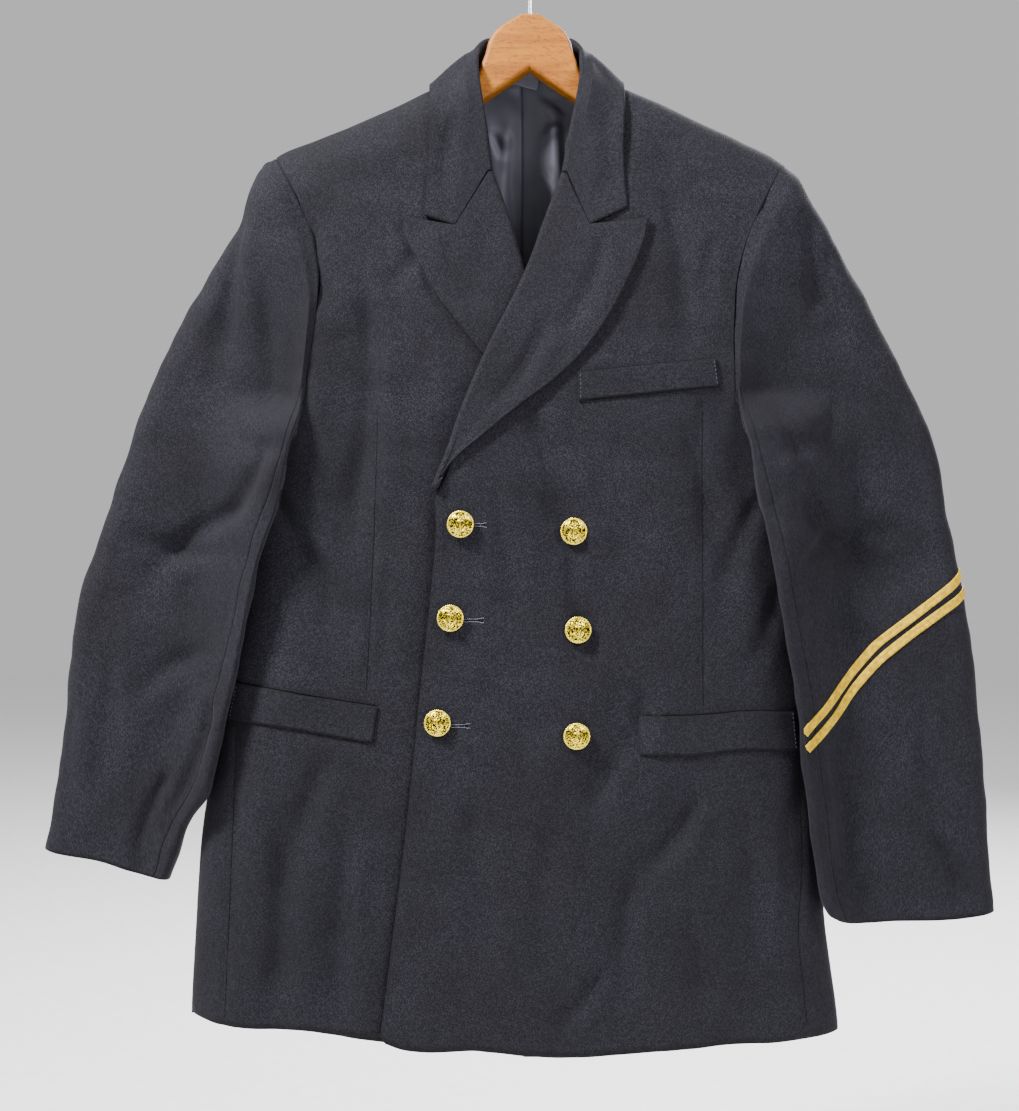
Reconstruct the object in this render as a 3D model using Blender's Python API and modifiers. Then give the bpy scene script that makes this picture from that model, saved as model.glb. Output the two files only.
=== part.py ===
"""Double-breasted naval uniform coat on a wooden hanger, as thin cloth walls.

Metres, +Z up. The origin is the inner top of the hanger's hook, the coat's front faces -Y,
and the wearer's left is +X. SIDE is +1 on the wearer's left and -1 on the wearer's right.
"""
import math

import bmesh
import bpy
import numpy as np
from mathutils import Vector

# Driving sizes of the cloth.
WALL = 0.0020            # coat cloth with its canvas
GAP = 0.0003             # space left at every seam
SIDE_RADIUS = 0.070      # how far in from its side the body rounds away
SHOULDER_RADIUS = 0.050  # how far below its shoulder line the body rounds away
LEFT, RIGHT = 1, -1
X, Y = 0, 1

# Heights that several pieces share.
Z_UNDERARM = -0.432
Z_VENT = -0.715

# The body's outline seen from the front: half widths of the wearer's left and right sides.
SIDE_LINE = (
    # z,     left,   right
    (-0.960, 0.2650, 0.2880),
    (-0.900, 0.2590, 0.2855),
    (-0.834, 0.2501, 0.2820),
    (-0.760, 0.2440, 0.2770),
    (-0.680, 0.2390, 0.2660),
    (-0.560, 0.2350, 0.2500),
    (-0.432, 0.2440, 0.2440),
    (-0.340, 0.2620, 0.2620),
    (-0.100, 0.2620, 0.2620),
)

# The ridge of the shoulders, from the neck outwards.
SHOULDER_LINE = (
    # x from the middle, left z, right z
    (0.000, -0.0740, -0.0740),
    (0.026, -0.0850, -0.0850),
    (0.046, -0.1030, -0.1030),
    (0.062, -0.1195, -0.1195),
    (0.084, -0.1288, -0.1286),
    (0.115, -0.1420, -0.1436),
    (0.147, -0.1573, -0.1576),
    (0.180, -0.1726, -0.1707),
    (0.213, -0.1905, -0.1855),
    (0.262, -0.2450, -0.2400),
)

# How far the cloth stands in front of and behind the middle plane.
DEPTH = (
    # z,    front,  back
    (-0.96, 0.0285, 0.0150),
    (-0.80, 0.0360, 0.0200),
    (-0.65, 0.0395, 0.0240),
    (-0.50, 0.0420, 0.0280),
    (-0.40, 0.0430, 0.0310),
    (-0.30, 0.0400, 0.0330),
    (-0.20, 0.0360, 0.0340),
    (-0.10, 0.0340, 0.0340),
)

# Front edge of the upper front, from the hem to the break of the lapel.
FRONT_EDGE_LEFT = (
    # x,      z
    (-0.1230, -0.9160), (-0.1177, -0.8746), (-0.1066, -0.7868), (-0.0979, -0.7119),
    (-0.0897, -0.6303), (-0.0815, -0.5569), (-0.0765, -0.5000), (-0.0757, -0.4610),
)

# How far the upper front is held off by the layers beneath it.
OVERLAP_LIFT = (
    # z,    lift
    (-0.96, 0.0036),
    (-0.54, 0.0042),
    (-0.46, 0.0088),
    (-0.27, 0.0088),
    (-0.19, 0.0004),
    (-0.10, 0.0000),
)

# Soft folds of the fronts and back: a trough's two ends, half width and depth.
FOLDS = (
    # face,    x0,     z0,     x1,     z1,    width, depth
    ("front", -0.146, -0.345, -0.142, -0.500, 0.022, 0.0050),
    ("front", -0.190, -0.512, -0.166, -0.575, 0.020, 0.0040),
    ("front", -0.205, -0.740, -0.212, -0.905, 0.020, 0.0035),
    ("front", -0.156, -0.760, -0.160, -0.900, 0.016, 0.0025),
    ("front", 0.028, -0.490, 0.066, -0.590, 0.026, 0.0040),
    ("front", 0.090, -0.640, 0.055, -0.715, 0.020, 0.0035),
    ("front", 0.128, -0.720, 0.088, -0.785, 0.024, 0.0032),
    ("front", 0.078, -0.815, 0.074, -0.900, 0.022, 0.0028),
    ("front", 0.115, -0.240, 0.130, -0.340, 0.022, 0.0040),
    ("back", 0.105, -0.300, 0.060, -0.520, 0.030, 0.0045),
    ("back", -0.105, -0.300, -0.062, -0.500, 0.030, 0.0045),
    ("back", 0.120, -0.600, 0.150, -0.860, 0.030, 0.0030),
    ("back", -0.130, -0.620, -0.165, -0.880, 0.030, 0.0030),
)


def through(rows, column=1):
    """A smooth curve through a table's first column and one other."""
    table = np.array(sorted(rows), float)
    place, value = table[:, 0], table[:, column]
    slope = np.gradient(value, place)

    def at(q):
        q = np.clip(q, place[0], place[-1])
        i = np.clip(np.searchsorted(place, q) - 1, 0, len(place) - 2)
        step = place[i + 1] - place[i]
        t = (q - place[i]) / step
        start = (1 + 2 * t) * (1 - t) ** 2 * value[i] + t * (1 - t) ** 2 * step * slope[i]
        end = t * t * (3 - 2 * t) * value[i + 1] + t * t * (t - 1) * step * slope[i + 1]
        return start + end

    return at


def curve(rows):
    """A smooth curve through points, read by its share of the length from 0 to 1."""
    points = np.array(rows, float)
    reach = np.r_[0, np.cumsum(np.linalg.norm(np.diff(points, axis=0), axis=1))]
    slopes = np.array([np.gradient(column, reach) for column in points.T]).T
    fine = []
    for i in range(len(points) - 1):
        step = reach[i + 1] - reach[i]
        t = np.linspace(0, 1, 16, endpoint=False)[:, None]
        fine.append((1 + 2 * t) * (1 - t) ** 2 * points[i] + t * (1 - t) ** 2 * step * slopes[i]
                    + t * t * (3 - 2 * t) * points[i + 1] + t * t * (t - 1) * step * slopes[i + 1])
    fine = np.vstack(fine + [points[-1:]])
    length = np.r_[0, np.cumsum(np.linalg.norm(np.diff(fine, axis=0), axis=1))]
    length /= length[-1]

    def at(t):
        t = np.clip(t, 0, 1)
        return np.stack([np.interp(t, length, column) for column in fine.T], axis=-1)

    return at


def joined(first, second, share):
    """Two curves read as one, the first up to its share."""
    def at(t):
        t = np.asarray(t, float)
        before = first(np.clip(t / share, 0, 1))
        after = second(np.clip((t - share) / (1 - share), 0, 1))
        return np.where((t < share)[..., None], before, after)

    return at


def smooth(t):
    t = np.clip(t, 0, 1)
    return t * t * (3 - 2 * t)


side_left, side_right = through(SIDE_LINE, 1), through(SIDE_LINE, 2)
ridge_left, ridge_right = through(SHOULDER_LINE, 1), through(SHOULDER_LINE, 2)
depth_front, depth_back = through(DEPTH, 1), through(DEPTH, 2)
overlap = through(OVERLAP_LIFT)
edge_left = through([(z, x) for x, z in FRONT_EDGE_LEFT])


def side_x(z, side):
    return side_left(z) if side == LEFT else side_right(z)


def ridge(x):
    return np.where(np.asarray(x) > 0, ridge_left(np.abs(x)), ridge_right(np.abs(x)))


def rounding(distance, radius):
    """Quarter-round that rises from 0 at an edge to 1 at the radius."""
    t = np.clip(1 - distance / radius, 0, 1)
    return np.sqrt(1 - t * t)


def folds(face, x, z):
    """Depth of all the soft folds at a place."""
    total = np.zeros(np.broadcast(x, z).shape)
    for name, x0, z0, x1, z1, width, depth in FOLDS:
        if name != face:
            continue
        run = np.array((x1 - x0, z1 - z0))
        share = ((x - x0) * run[0] + (z - z0) * run[1]) / (run @ run)
        inside = np.clip(share, 0, 1)
        away = np.hypot(x - x0 - inside * run[0], z - z0 - inside * run[1])
        total = total + depth * np.exp(-(away / width) ** 2)
    return total


def body_round(x, z):
    edge = np.where(x > 0, side_left(z), side_right(z))
    return rounding(edge - np.abs(x), SIDE_RADIUS) * rounding(ridge(x) - z, SHOULDER_RADIUS)


def lift_over(x, z):
    """How far the upper front stands off the lower one."""
    return overlap(z) * (1 - smooth((x - 0.100) / 0.085))


def hidden(x, z):
    """How far a place of the lower front lies behind the upper one, from 0 to 1."""
    below = 1 - smooth((z + 0.500) / 0.040)
    return smooth((x - edge_left(z) + 0.016) / 0.036) * below


def front_y(x, z, side):
    """Outer face of a front, its folds and the room between the two fronts worked in."""
    full = body_round(x, z)
    bare = -depth_front(z) * full
    if side == LEFT:
        return bare + (folds("front", x, z) - lift_over(x, z)) * full
    tucked = hidden(x, z)
    return bare + (folds("front", x, z) * (1 - tucked) + HIDDEN_DROP * tucked) * full


def back_y(x, z, lift=0.0):
    full = body_round(x, z)
    return depth_back(z) * full - folds("back", x, z) * full + lift * full


def coons(bottom, top, inner, outer, u, v):
    """Patch between four curves: u runs inner to outer, v bottom to top."""
    uu, vv = np.meshgrid(u, v)
    uw, vw = uu[..., None], vv[..., None]
    ruled = (1 - vw) * bottom(uu) + vw * top(uu) + (1 - uw) * inner(vv) + uw * outer(vv)
    corners = ((1 - uw) * (1 - vw) * bottom(0.0) + uw * (1 - vw) * bottom(1.0)
               + (1 - uw) * vw * top(0.0) + uw * vw * top(1.0))
    return ruled - corners


def normals(grid):
    across = np.gradient(grid, axis=1)
    along = np.gradient(grid, axis=0)
    normal = np.cross(across, along)
    size = np.linalg.norm(normal, axis=-1, keepdims=True)
    return normal / np.maximum(size, 1e-12)


def unit(vector):
    return vector / np.maximum(np.linalg.norm(vector, axis=-1, keepdims=True), 1e-12)


collection = bpy.data.collections.new("Naval uniform coat")


def start():
    for old in list(bpy.data.objects):
        bpy.data.objects.remove(old)
    bpy.context.scene.collection.children.link(collection)


def material(name, colour, roughness, metallic=0.0):
    made = bpy.data.materials.new(name)
    made.use_nodes = True
    shader = made.node_tree.nodes["Principled BSDF"]
    shader.inputs["Base Color"].default_value = (*colour, 1)
    shader.inputs["Roughness"].default_value = roughness
    shader.inputs["Metallic"].default_value = metallic
    return made


def add(name, mesh, finish, location=(0, 0, 0)):
    mesh.materials.append(finish)
    thing = bpy.data.objects.new(name, mesh)
    thing.location = location
    collection.objects.link(thing)
    return thing


def wall(name, outer, inner, finish):
    """A closed wall between an outer and an inner grid of points."""
    rows, columns = outer.shape[:2]
    count = rows * columns
    points = np.vstack([outer.reshape(-1, 3), inner.reshape(-1, 3)])
    faces = []

    def at(row, column, layer=0):
        return layer * count + row * columns + column

    for r in range(rows - 1):
        for c in range(columns - 1):
            corners = (r, c), (r, c + 1), (r + 1, c + 1), (r + 1, c)
            faces.append([at(*corner) for corner in corners])
            faces.append([at(*corner, 1) for corner in reversed(corners)])
    rim = [(0, c) for c in range(columns)] + [(r, columns - 1) for r in range(1, rows)]
    rim += [(rows - 1, c) for c in range(columns - 2, -1, -1)] + [(r, 0) for r in range(rows - 2, 0, -1)]
    for here, after in zip(rim, rim[1:] + rim[:1]):
        corners = at(*after), at(*here), at(*here, 1), at(*after, 1)
        # Both sides of a seam are split along the same diagonal, or they would cut each other.
        if here[1] == after[1] and here[0] < after[0]:
            faces += [[corners[0], corners[1], corners[3]], [corners[1], corners[2], corners[3]]]
        else:
            faces += [[corners[0], corners[1], corners[2]], [corners[0], corners[2], corners[3]]]
    mesh = bpy.data.meshes.new(name)
    mesh.from_pydata(points.tolist(), [], faces)
    mesh.validate()
    mesh.shade_smooth()
    mesh.set_sharp_from_angle(angle=math.radians(40))
    return add(name, mesh, finish)


def outward(grid, hint):
    """The grid's normals, turned to the side that a hint direction points to."""
    normal = normals(grid)
    if np.sum(normal * hint) < 0:
        normal = -normal
    return normal


def cloth(name, grid, finish, hint, thickness=WALL, square_edges=()):
    """A wall grown inwards from its outer points, square to an axis at the edges named."""
    normal = outward(grid, hint)
    rims = {"inner": np.s_[:, 0], "outer": np.s_[:, -1], "bottom": np.s_[0], "top": np.s_[-1]}
    for edge, axis in square_edges:
        rim = normal[rims[edge]].copy()
        rim[..., axis] = 0
        normal[rims[edge]] = unit(rim)
    inner = grid - normal * thickness
    if np.sum(normals(grid) * normal) > 0:
        return wall(name, grid, inner, finish)
    return wall(name, grid[:, ::-1], inner[:, ::-1], finish)


# Spacing of the panels' rows and columns, closer where the cloth rounds away.
ACROSS = np.array([0, 0.07, 0.14, 0.22, 0.30, 0.38, 0.46, 0.54, 0.62, 0.70, 0.78, 0.86, 0.925, 0.97, 1.0])
ACROSS_BACK = np.array([0, 0.10, 0.20, 0.31, 0.42, 0.53, 0.64, 0.75, 0.85, 0.92, 0.97, 1.0])
UP_TO_ARM = np.array([0, 0.05, 0.10, 0.15, 0.20, 0.25, 0.30, 0.35, 0.40, 0.45, 0.49, 0.53])
# Seam points of a sleeve, from the shoulder down the front to its fold, and down the back.
SEAM_FRONT = np.array([0, 0.02, 0.065, 0.13, 0.22, 0.33, 0.45, 0.57, 0.69, 0.80, 0.89, 0.95, 0.985, 1.0])
SEAM_HIDDEN = np.array([0.10, 0.26, 0.50, 0.80])
SEAM_BACK = np.array([0, 0.04, 0.11, 0.20, 0.32, 0.46, 0.61, 0.77, 0.89, 0.96, 1.0])
HIDDEN_DROP = 0.0055     # how far the lower front is pressed back where it is covered
VENT_ROOM = 0.0027       # from the back's outer face to the underlap's
NECK_SHARE = 0.31        # share of a back half's top edge that its neck takes
UNDERARM_SHARE = 0.57    # where the underarm comes on a panel's outer edge

# Upper front: its hem from the front edge to the side, and its roll line.
HEM_LEFT = (
    # x,      z
    (-0.1230, -0.9160), (-0.1205, -0.9225), (-0.1150, -0.9250), (-0.0411, -0.9296),
    (0.0084, -0.9337), (0.0579, -0.9329), (0.1075, -0.9299), (0.1572, -0.9253),
    (0.2078, -0.9230), (0.2603, -0.9188),
)
ROLL_LEFT = (
    # x,      z
    (-0.0757, -0.4610), (-0.0570, -0.4025), (-0.0383, -0.3579), (-0.0026, -0.2844),
    (0.0121, -0.2433), (0.0260, -0.2061),
)
# Lower front, mostly hidden by the upper one.
HEM_RIGHT = (
    # x,     z
    (0.1130, -0.9220), (0.0200, -0.9225), (-0.0700, -0.9210), (-0.1272, -0.9190),
    (-0.1902, -0.9135), (-0.2409, -0.9112), (-0.2675, -0.9078), (-0.2858, -0.9035),
)
FRONT_EDGE_RIGHT = (
    # x,     z
    (0.1130, -0.9220), (0.1060, -0.8200), (0.0920, -0.7100), (0.0800, -0.6000),
    (0.0720, -0.5000), (0.0705, -0.4610),
)
ROLL_RIGHT = (
    # x,     z
    (0.0705, -0.4610), (0.0520, -0.4025), (0.0330, -0.3580), (-0.0042, -0.2836),
    (-0.0164, -0.2428), (-0.0303, -0.2045),
)
# Armhole seams seen from the front, from the underarm up to the shoulder.
ARMHOLE_LEFT = (
    # x,     z
    (0.2440, -0.4320), (0.2150, -0.4260), (0.1860, -0.4140), (0.1705, -0.3931), (0.1673, -0.3584),
    (0.1670, -0.3283), (0.1693, -0.2959), (0.1792, -0.2581), (0.1945, -0.2239), (0.2130, -0.1905),
)
ARMHOLE_RIGHT = (
    # x,      z
    (-0.2440, -0.4320), (-0.2180, -0.4280), (-0.1980, -0.4180), (-0.1866, -0.3988),
    (-0.1818, -0.3661), (-0.1766, -0.3333), (-0.1729, -0.2978), (-0.1767, -0.2657),
    (-0.1902, -0.2284), (-0.2130, -0.1855),
)
FOLD_POINT = 3           # the point of both seams above at which the sleeve's fold starts to hide them
ARMHOLE_BACK = (
    # x from the middle, z, from the underarm up to the shoulder
    (0.2440, -0.4320), (0.2330, -0.4060), (0.2150, -0.3720), (0.1980, -0.3300), (0.1900, -0.2850),
    (0.1950, -0.2380), (0.2130, -0.1880),
)
NECK_X, NECK_Z = 0.0620, -0.1195
NECK_BACK_Z = -0.1040
NECK_BACK = (
    # x from the middle, z, between the middle of the back and the shoulder line
    (0.0220, -0.1050), (0.0450, -0.1100),
)
BREAK_DROP = 0.0100      # how far below the lapel's break a front's edge meets its straight run
SIDE_LOW_X = 0.275       # about where the hem meets the side seams
HEM_BACK = (
    # x,      z
    (0.2640, -0.9200), (0.2000, -0.9330), (0.1000, -0.9450), (0.0410, -0.9500), (-0.0100, -0.9482),
    (-0.0600, -0.9425), (-0.1200, -0.9372), (-0.2100, -0.9230), (-0.2870, -0.9040),
)
MIDDLE_BACK_X = -0.0060
ROLL_RADIUS = 0.0040
EDGE_BEHIND_ROLL = 0.0046
STAND_OFF = 0.0030       # from a front's outer face to the outer face of what is turned over it
INSIDE = 0.0050          # from a front's outer face to the strip turned in behind it


def moved_in(rows, side):
    """A roll line's points moved off the opening, where the panel's own edge lies."""
    points = np.array(rows, float)
    run = unit(np.gradient(points, axis=0))
    away = np.stack([run[:, 1], -run[:, 0]], axis=1) * side
    return [tuple(p) for p in points + away * EDGE_BEHIND_ROLL]


def share_of(rows, index):
    """The share of a curve's length at which one of its points comes."""
    steps = np.linalg.norm(np.diff(np.array(rows, float), axis=0), axis=1)
    return float(steps[:index].sum() / steps.sum())


def front_rows(side):
    """A front's rows: those beside the armhole lie at the sleeve's own seam points."""
    hidden_part = share_of(ARMHOLE_LEFT if side == LEFT else ARMHOLE_RIGHT, FOLD_POINT)
    shares = np.r_[0, SEAM_HIDDEN * hidden_part, hidden_part + (1 - hidden_part) * (1 - SEAM_FRONT[::-1])]
    return np.r_[UP_TO_ARM, UNDERARM_SHARE + (1 - UNDERARM_SHARE) * shares]


def back_rows():
    return np.r_[UP_TO_ARM, UNDERARM_SHARE + (1 - UNDERARM_SHARE) * (1 - SEAM_BACK[::-1])]


def shoulder(side, tip_x):
    """The shoulder line from the neck to the armhole."""
    xs = np.linspace(NECK_X, tip_x, 9) * side
    return curve(np.stack([xs, ridge(xs)], axis=1))


def side_seam(side, low, high=Z_UNDERARM):
    zs = np.linspace(low, high, 12)
    return curve(np.stack([side * side_x(zs, side), zs], axis=1))


def front_grid(side):
    """Outer points of a front."""
    hem, edge, roll, armhole = ((HEM_LEFT, FRONT_EDGE_LEFT, ROLL_LEFT, ARMHOLE_LEFT) if side == LEFT
                                else (HEM_RIGHT, FRONT_EDGE_RIGHT, ROLL_RIGHT, ARMHOLE_RIGHT))
    low = hem[-1][1]
    corner = (side * side_x(low, side), low)
    bottom = curve(list(hem[:-1]) + [corner])
    top = shoulder(side, abs(armhole[-1][0]))
    neck = tuple(top(0.0))
    behind = moved_in(roll, side)
    below_break = (edge[-1][0], edge[-1][1] - BREAK_DROP)
    inner = curve(list(edge[:-1]) + [below_break] + behind + [neck])
    outer = joined(side_seam(side, low), curve(list(armhole[:-1]) + [tuple(top(1.0))]), UNDERARM_SHARE)
    flat = coons(bottom, top, inner, outer, ACROSS, front_rows(side))
    x, z = flat[..., 0], flat[..., 1]
    return np.stack([x, front_y(x, z, side) - GAP / 2, z], axis=-1)


def back_grid(side):
    """Outer points of a back half."""
    hem_z = through(HEM_BACK)
    middle = MIDDLE_BACK_X + side * GAP / 2
    side_low = hem_z(np.array(side * SIDE_LOW_X))
    corner = side * side_x(side_low, side)
    xs = np.linspace(middle, corner, 9)
    bottom = curve(np.stack([xs, np.r_[hem_z(xs[:-1]), side_low]], axis=1))
    tip = shoulder(side, ARMHOLE_BACK[-1][0])
    neck = [(middle, NECK_BACK_Z)] + [(side * x, z) for x, z in NECK_BACK] + [(side * NECK_X, NECK_Z)]
    top = joined(curve(neck), tip, NECK_SHARE)
    inner = curve([(middle, z) for z in np.linspace(float(hem_z(np.array(middle))), NECK_BACK_Z, 12)])
    armhole = [(side * x, z) for x, z in ARMHOLE_BACK[:-1]] + [tuple(tip(1.0))]
    outer = joined(side_seam(side, side_low), curve(armhole), UNDERARM_SHARE)
    flat = coons(bottom, top, inner, outer, ACROSS_BACK, back_rows())
    x, z = flat[..., 0], flat[..., 1]
    return np.stack([x, back_y(x, z) + GAP / 2, z], axis=-1)


FORWARD, BACKWARD = np.array((0, -1.0, 0)), np.array((0, 1.0, 0))


def fronts(wool):
    for side, name in ((LEFT, "front_left"), (RIGHT, "front_right")):
        cloth(name, front_grid(side), wool, FORWARD, square_edges=(("outer", Y), ("top", Y)))


def backs(wool):
    for side, name in ((LEFT, "back_left"), (RIGHT, "back_right")):
        cloth(name, back_grid(side), wool, BACKWARD,
              square_edges=(("outer", Y), ("top", Y), ("inner", X)))


def vent(wool):
    """The vent's underlap, inside the wearer's left back half along the middle seam."""
    zs = np.linspace(Z_VENT, float(through(HEM_BACK)(np.array(0.02))) + 0.0015, 10)
    xs = MIDDLE_BACK_X + np.array((0.0015, 0.012, 0.024, 0.036))
    x, z = np.meshgrid(xs, zs)
    y = back_y(x, z) - VENT_ROOM
    cloth("vent_underlap", np.stack([x, y, z], axis=-1), wool, BACKWARD)


# Lapels: the outer edge from the break to the tip, then the gorge corner.
LAPEL_LEFT = (
    # x,      z
    (-0.0724, -0.4594), (-0.0611, -0.4415), (-0.0408, -0.4245), (-0.0083, -0.3983),
    (0.0161, -0.3804), (0.0406, -0.3576), (0.0609, -0.3308), (0.0812, -0.2925),
    (0.0945, -0.2580), (0.0972, -0.2450),
)
GORGE_LEFT = (0.0487, -0.2502)
LAPEL_RIGHT = (
    # x,      z
    (0.0672, -0.4594), (0.0560, -0.4420), (0.0380, -0.4245), (0.0090, -0.3990),
    (-0.0150, -0.3800), (-0.0359, -0.3590), (-0.0571, -0.3329), (-0.0775, -0.3060),
    (-0.0938, -0.2759), (-0.1040, -0.2500), (-0.1025, -0.2430),
)
GORGE_RIGHT = (-0.0612, -0.2498)
# Collar, from the middle of the back to its front ends.
COLLAR_FOLD = (
    # x left, x right, y,       z
    (0.0000, 0.0000, 0.0330, -0.0740),
    (0.0190, 0.0190, 0.0300, -0.0750),
    (0.0345, 0.0345, 0.0190, -0.0765),
    (0.0425, 0.0432, 0.0030, -0.0895),
    (0.0424, 0.0431, -0.0130, -0.1060),
    (0.0409, 0.0413, -0.0225, -0.1258),
    (0.0378, 0.0387, -0.0290, -0.1430),
    (0.0320, 0.0344, -0.0340, -0.1715),
)
COLLAR_EDGE = (
    # x left, x right, way over the shoulder: behind is negative, in front positive
    (0.0000, 0.0000, -0.0960),
    (0.0280, 0.0290, -0.0860),
    (0.0550, 0.0570, -0.0640),
    (0.0740, 0.0770, -0.0380),
    (0.0790, 0.0835, 0.0000),
    (0.0780, 0.0825, 0.0500),
    (0.0765, 0.0825, 0.0925),
    (0.0780, 0.0845, 0.1210),
)
COLLAR_CORNER_LEFT = (0.0798, -0.2359)
COLLAR_CORNER_RIGHT = (-0.0865, -0.2416)
ROLL_ANGLES = np.radians((0, 50, 90, 130, 180))
RIDGE_ROOM = 0.0019      # more room under the collar where it bends over the shoulder
STAND_IN = 0.0085        # from the back's outer face to the outer face of the collar's stand
STRIP_BACK = 0.0012      # how much further back the strip lies than the roll that it comes from
COLLAR_ARCH = 0.0080     # how high the leaf stands up over the shoulder
SLIM_ROLL = 0.0027       # the collar's fold round the back of the neck
GORGE_SHARE = 0.45       # share of a lapel's or collar's end where the gorge seam's corner comes
INNER_STRIP = 0.010      # how wide a strip of the facing shows inside the neck
SEAM_IN = 0.0042         # how far the collar's stand reaches down inside the neck seam
STAND_DRAWN_IN = 0.985   # the stand's width beside that of the neck seam
STAND_SIDE = (0.0600, -0.1185)
STAND_FRONT = (0.0460, -0.1400)   # where the stand would meet the shoulder line in front
STAND_SHARES = (0.62, 0.30, 0.0)  # its points between there and the collar's front end
STAND_END_IN = 0.014     # how far inside the fold the stand's front end lies
STAND_FORWARD = 0.0030
COLLAR_ROWS = np.array([0, 0.10, 0.20, 0.30, 0.39, 0.47, 0.55, 0.63, 0.71, 0.79, 0.86, 0.93, 1.0])
COLLAR_ACROSS = np.array([1.0, 0.82, 0.60, 0.38, 0.16])


def line(start, end):
    start, end = np.array(start, float), np.array(end, float)
    return lambda t: start + (end - start) * np.asarray(t, float)[..., None]


def laid(x, z, side, off=STAND_OFF):
    """Points of a front, moved out."""
    return np.stack([x, front_y(x, z, side) - off, z], axis=-1)


def folded_wall(name, leaf, roll, inner, faces, finish, thickness=WALL):
    """A wall from a leaf, the roll that it turns over and the strip inside, column by column."""
    grid = np.concatenate([leaf, roll, inner], axis=1)
    normal = normals(grid)
    first = leaf.shape[1]
    if np.sum(normal[:, first + 2] * faces[:, 2]) < 0:
        normal = -normal
    normal[:, first:first + roll.shape[1]] = faces
    inside = grid - normal * thickness
    if np.sum(normals(grid) * normal) > 0:
        return wall(name, grid, inside, finish)
    return wall(name, grid[:, ::-1], inside[:, ::-1], finish)


def roll_columns(centre, out, up, radius):
    """The half turn of a fold and the way that each of its columns faces."""
    faces = np.stack([out * math.cos(a) + up * math.sin(a) for a in ROLL_ANGLES], axis=1)
    return centre[:, None] + faces * radius[:, None, None], faces


LAPEL_UP = np.array([0, 0.08, 0.17, 0.26, 0.35, 0.44, 0.53, 0.62, 0.70, 0.78, 0.85, 0.91, 0.96, 1.0])
LAPEL_ACROSS = np.array([1.0, 0.86, 0.70, 0.54, 0.38, 0.22, 0.09])


def lapel(side, wool):
    """A facing turned back over the roll line, with the strip that shows inside the neck."""
    rows, gorge, roll_rows = ((LAPEL_LEFT, GORGE_LEFT, ROLL_LEFT) if side == LEFT
                              else (LAPEL_RIGHT, GORGE_RIGHT, ROLL_RIGHT))
    roll = curve(roll_rows)
    fold = roll(LAPEL_UP)
    run = unit(np.gradient(fold, axis=0))
    away = np.stack([run[:, 1], -run[:, 0]], axis=1) * side
    start = curve(roll(np.linspace(0, 1, 12)) + np.interp(
        np.linspace(0, 1, 12), LAPEL_UP, away[:, 0])[:, None] * np.array((ROLL_RADIUS, 0))
        + np.interp(np.linspace(0, 1, 12), LAPEL_UP, away[:, 1])[:, None] * np.array((0, ROLL_RADIUS)))
    edge = curve(rows)
    top = joined(line(start(1.0), gorge), line(gorge, rows[-1]), GORGE_SHARE)
    flat = coons(line(start(0.0), rows[0]), top, start, edge, LAPEL_ACROSS, LAPEL_UP)
    leaf = laid(flat[..., 0], flat[..., 1], side)
    middle = start(LAPEL_UP)
    middle_y = front_y(middle[:, 0], middle[:, 1], side) - STAND_OFF + ROLL_RADIUS
    centre = np.stack([middle[:, 0], middle_y, middle[:, 1]], axis=-1)
    up = np.stack([-away[:, 0], np.zeros(len(away)), -away[:, 1]], axis=-1)
    out = np.broadcast_to(FORWARD, up.shape)
    columns, faces = roll_columns(centre, out, up, np.full(len(up), ROLL_RADIUS))
    steps = np.array((0.5, 1.0)) * INNER_STRIP
    inner = columns[:, -1:] - up[:, None] * steps[None, :, None] + BACKWARD * STRIP_BACK
    side_name = "left" if side == LEFT else "right"
    folded_wall("lapel_" + side_name, leaf, columns, inner, faces, wool)


def over_shoulder(x, way, off=0.0):
    """A point of the body at a way over the shoulder line, moved out: y and z."""
    def plain(w):
        angle = np.clip(w / SHOULDER_RADIUS, -math.pi / 2, math.pi / 2)
        rest = np.maximum(np.abs(w) - SHOULDER_RADIUS * math.pi / 2, 0)
        z = ridge(x) - SHOULDER_RADIUS * (1 - np.cos(angle)) - rest
        depth = np.where(w > 0, depth_front(z), depth_back(z))
        return np.stack([-depth * np.sin(angle), z], axis=-1)

    step = 0.002
    run = unit(plain(way + step) - plain(way - step))
    return plain(way) + np.stack([-np.abs(run[..., 1]) * np.sign(way), np.abs(run[..., 0])], axis=-1) * off




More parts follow.
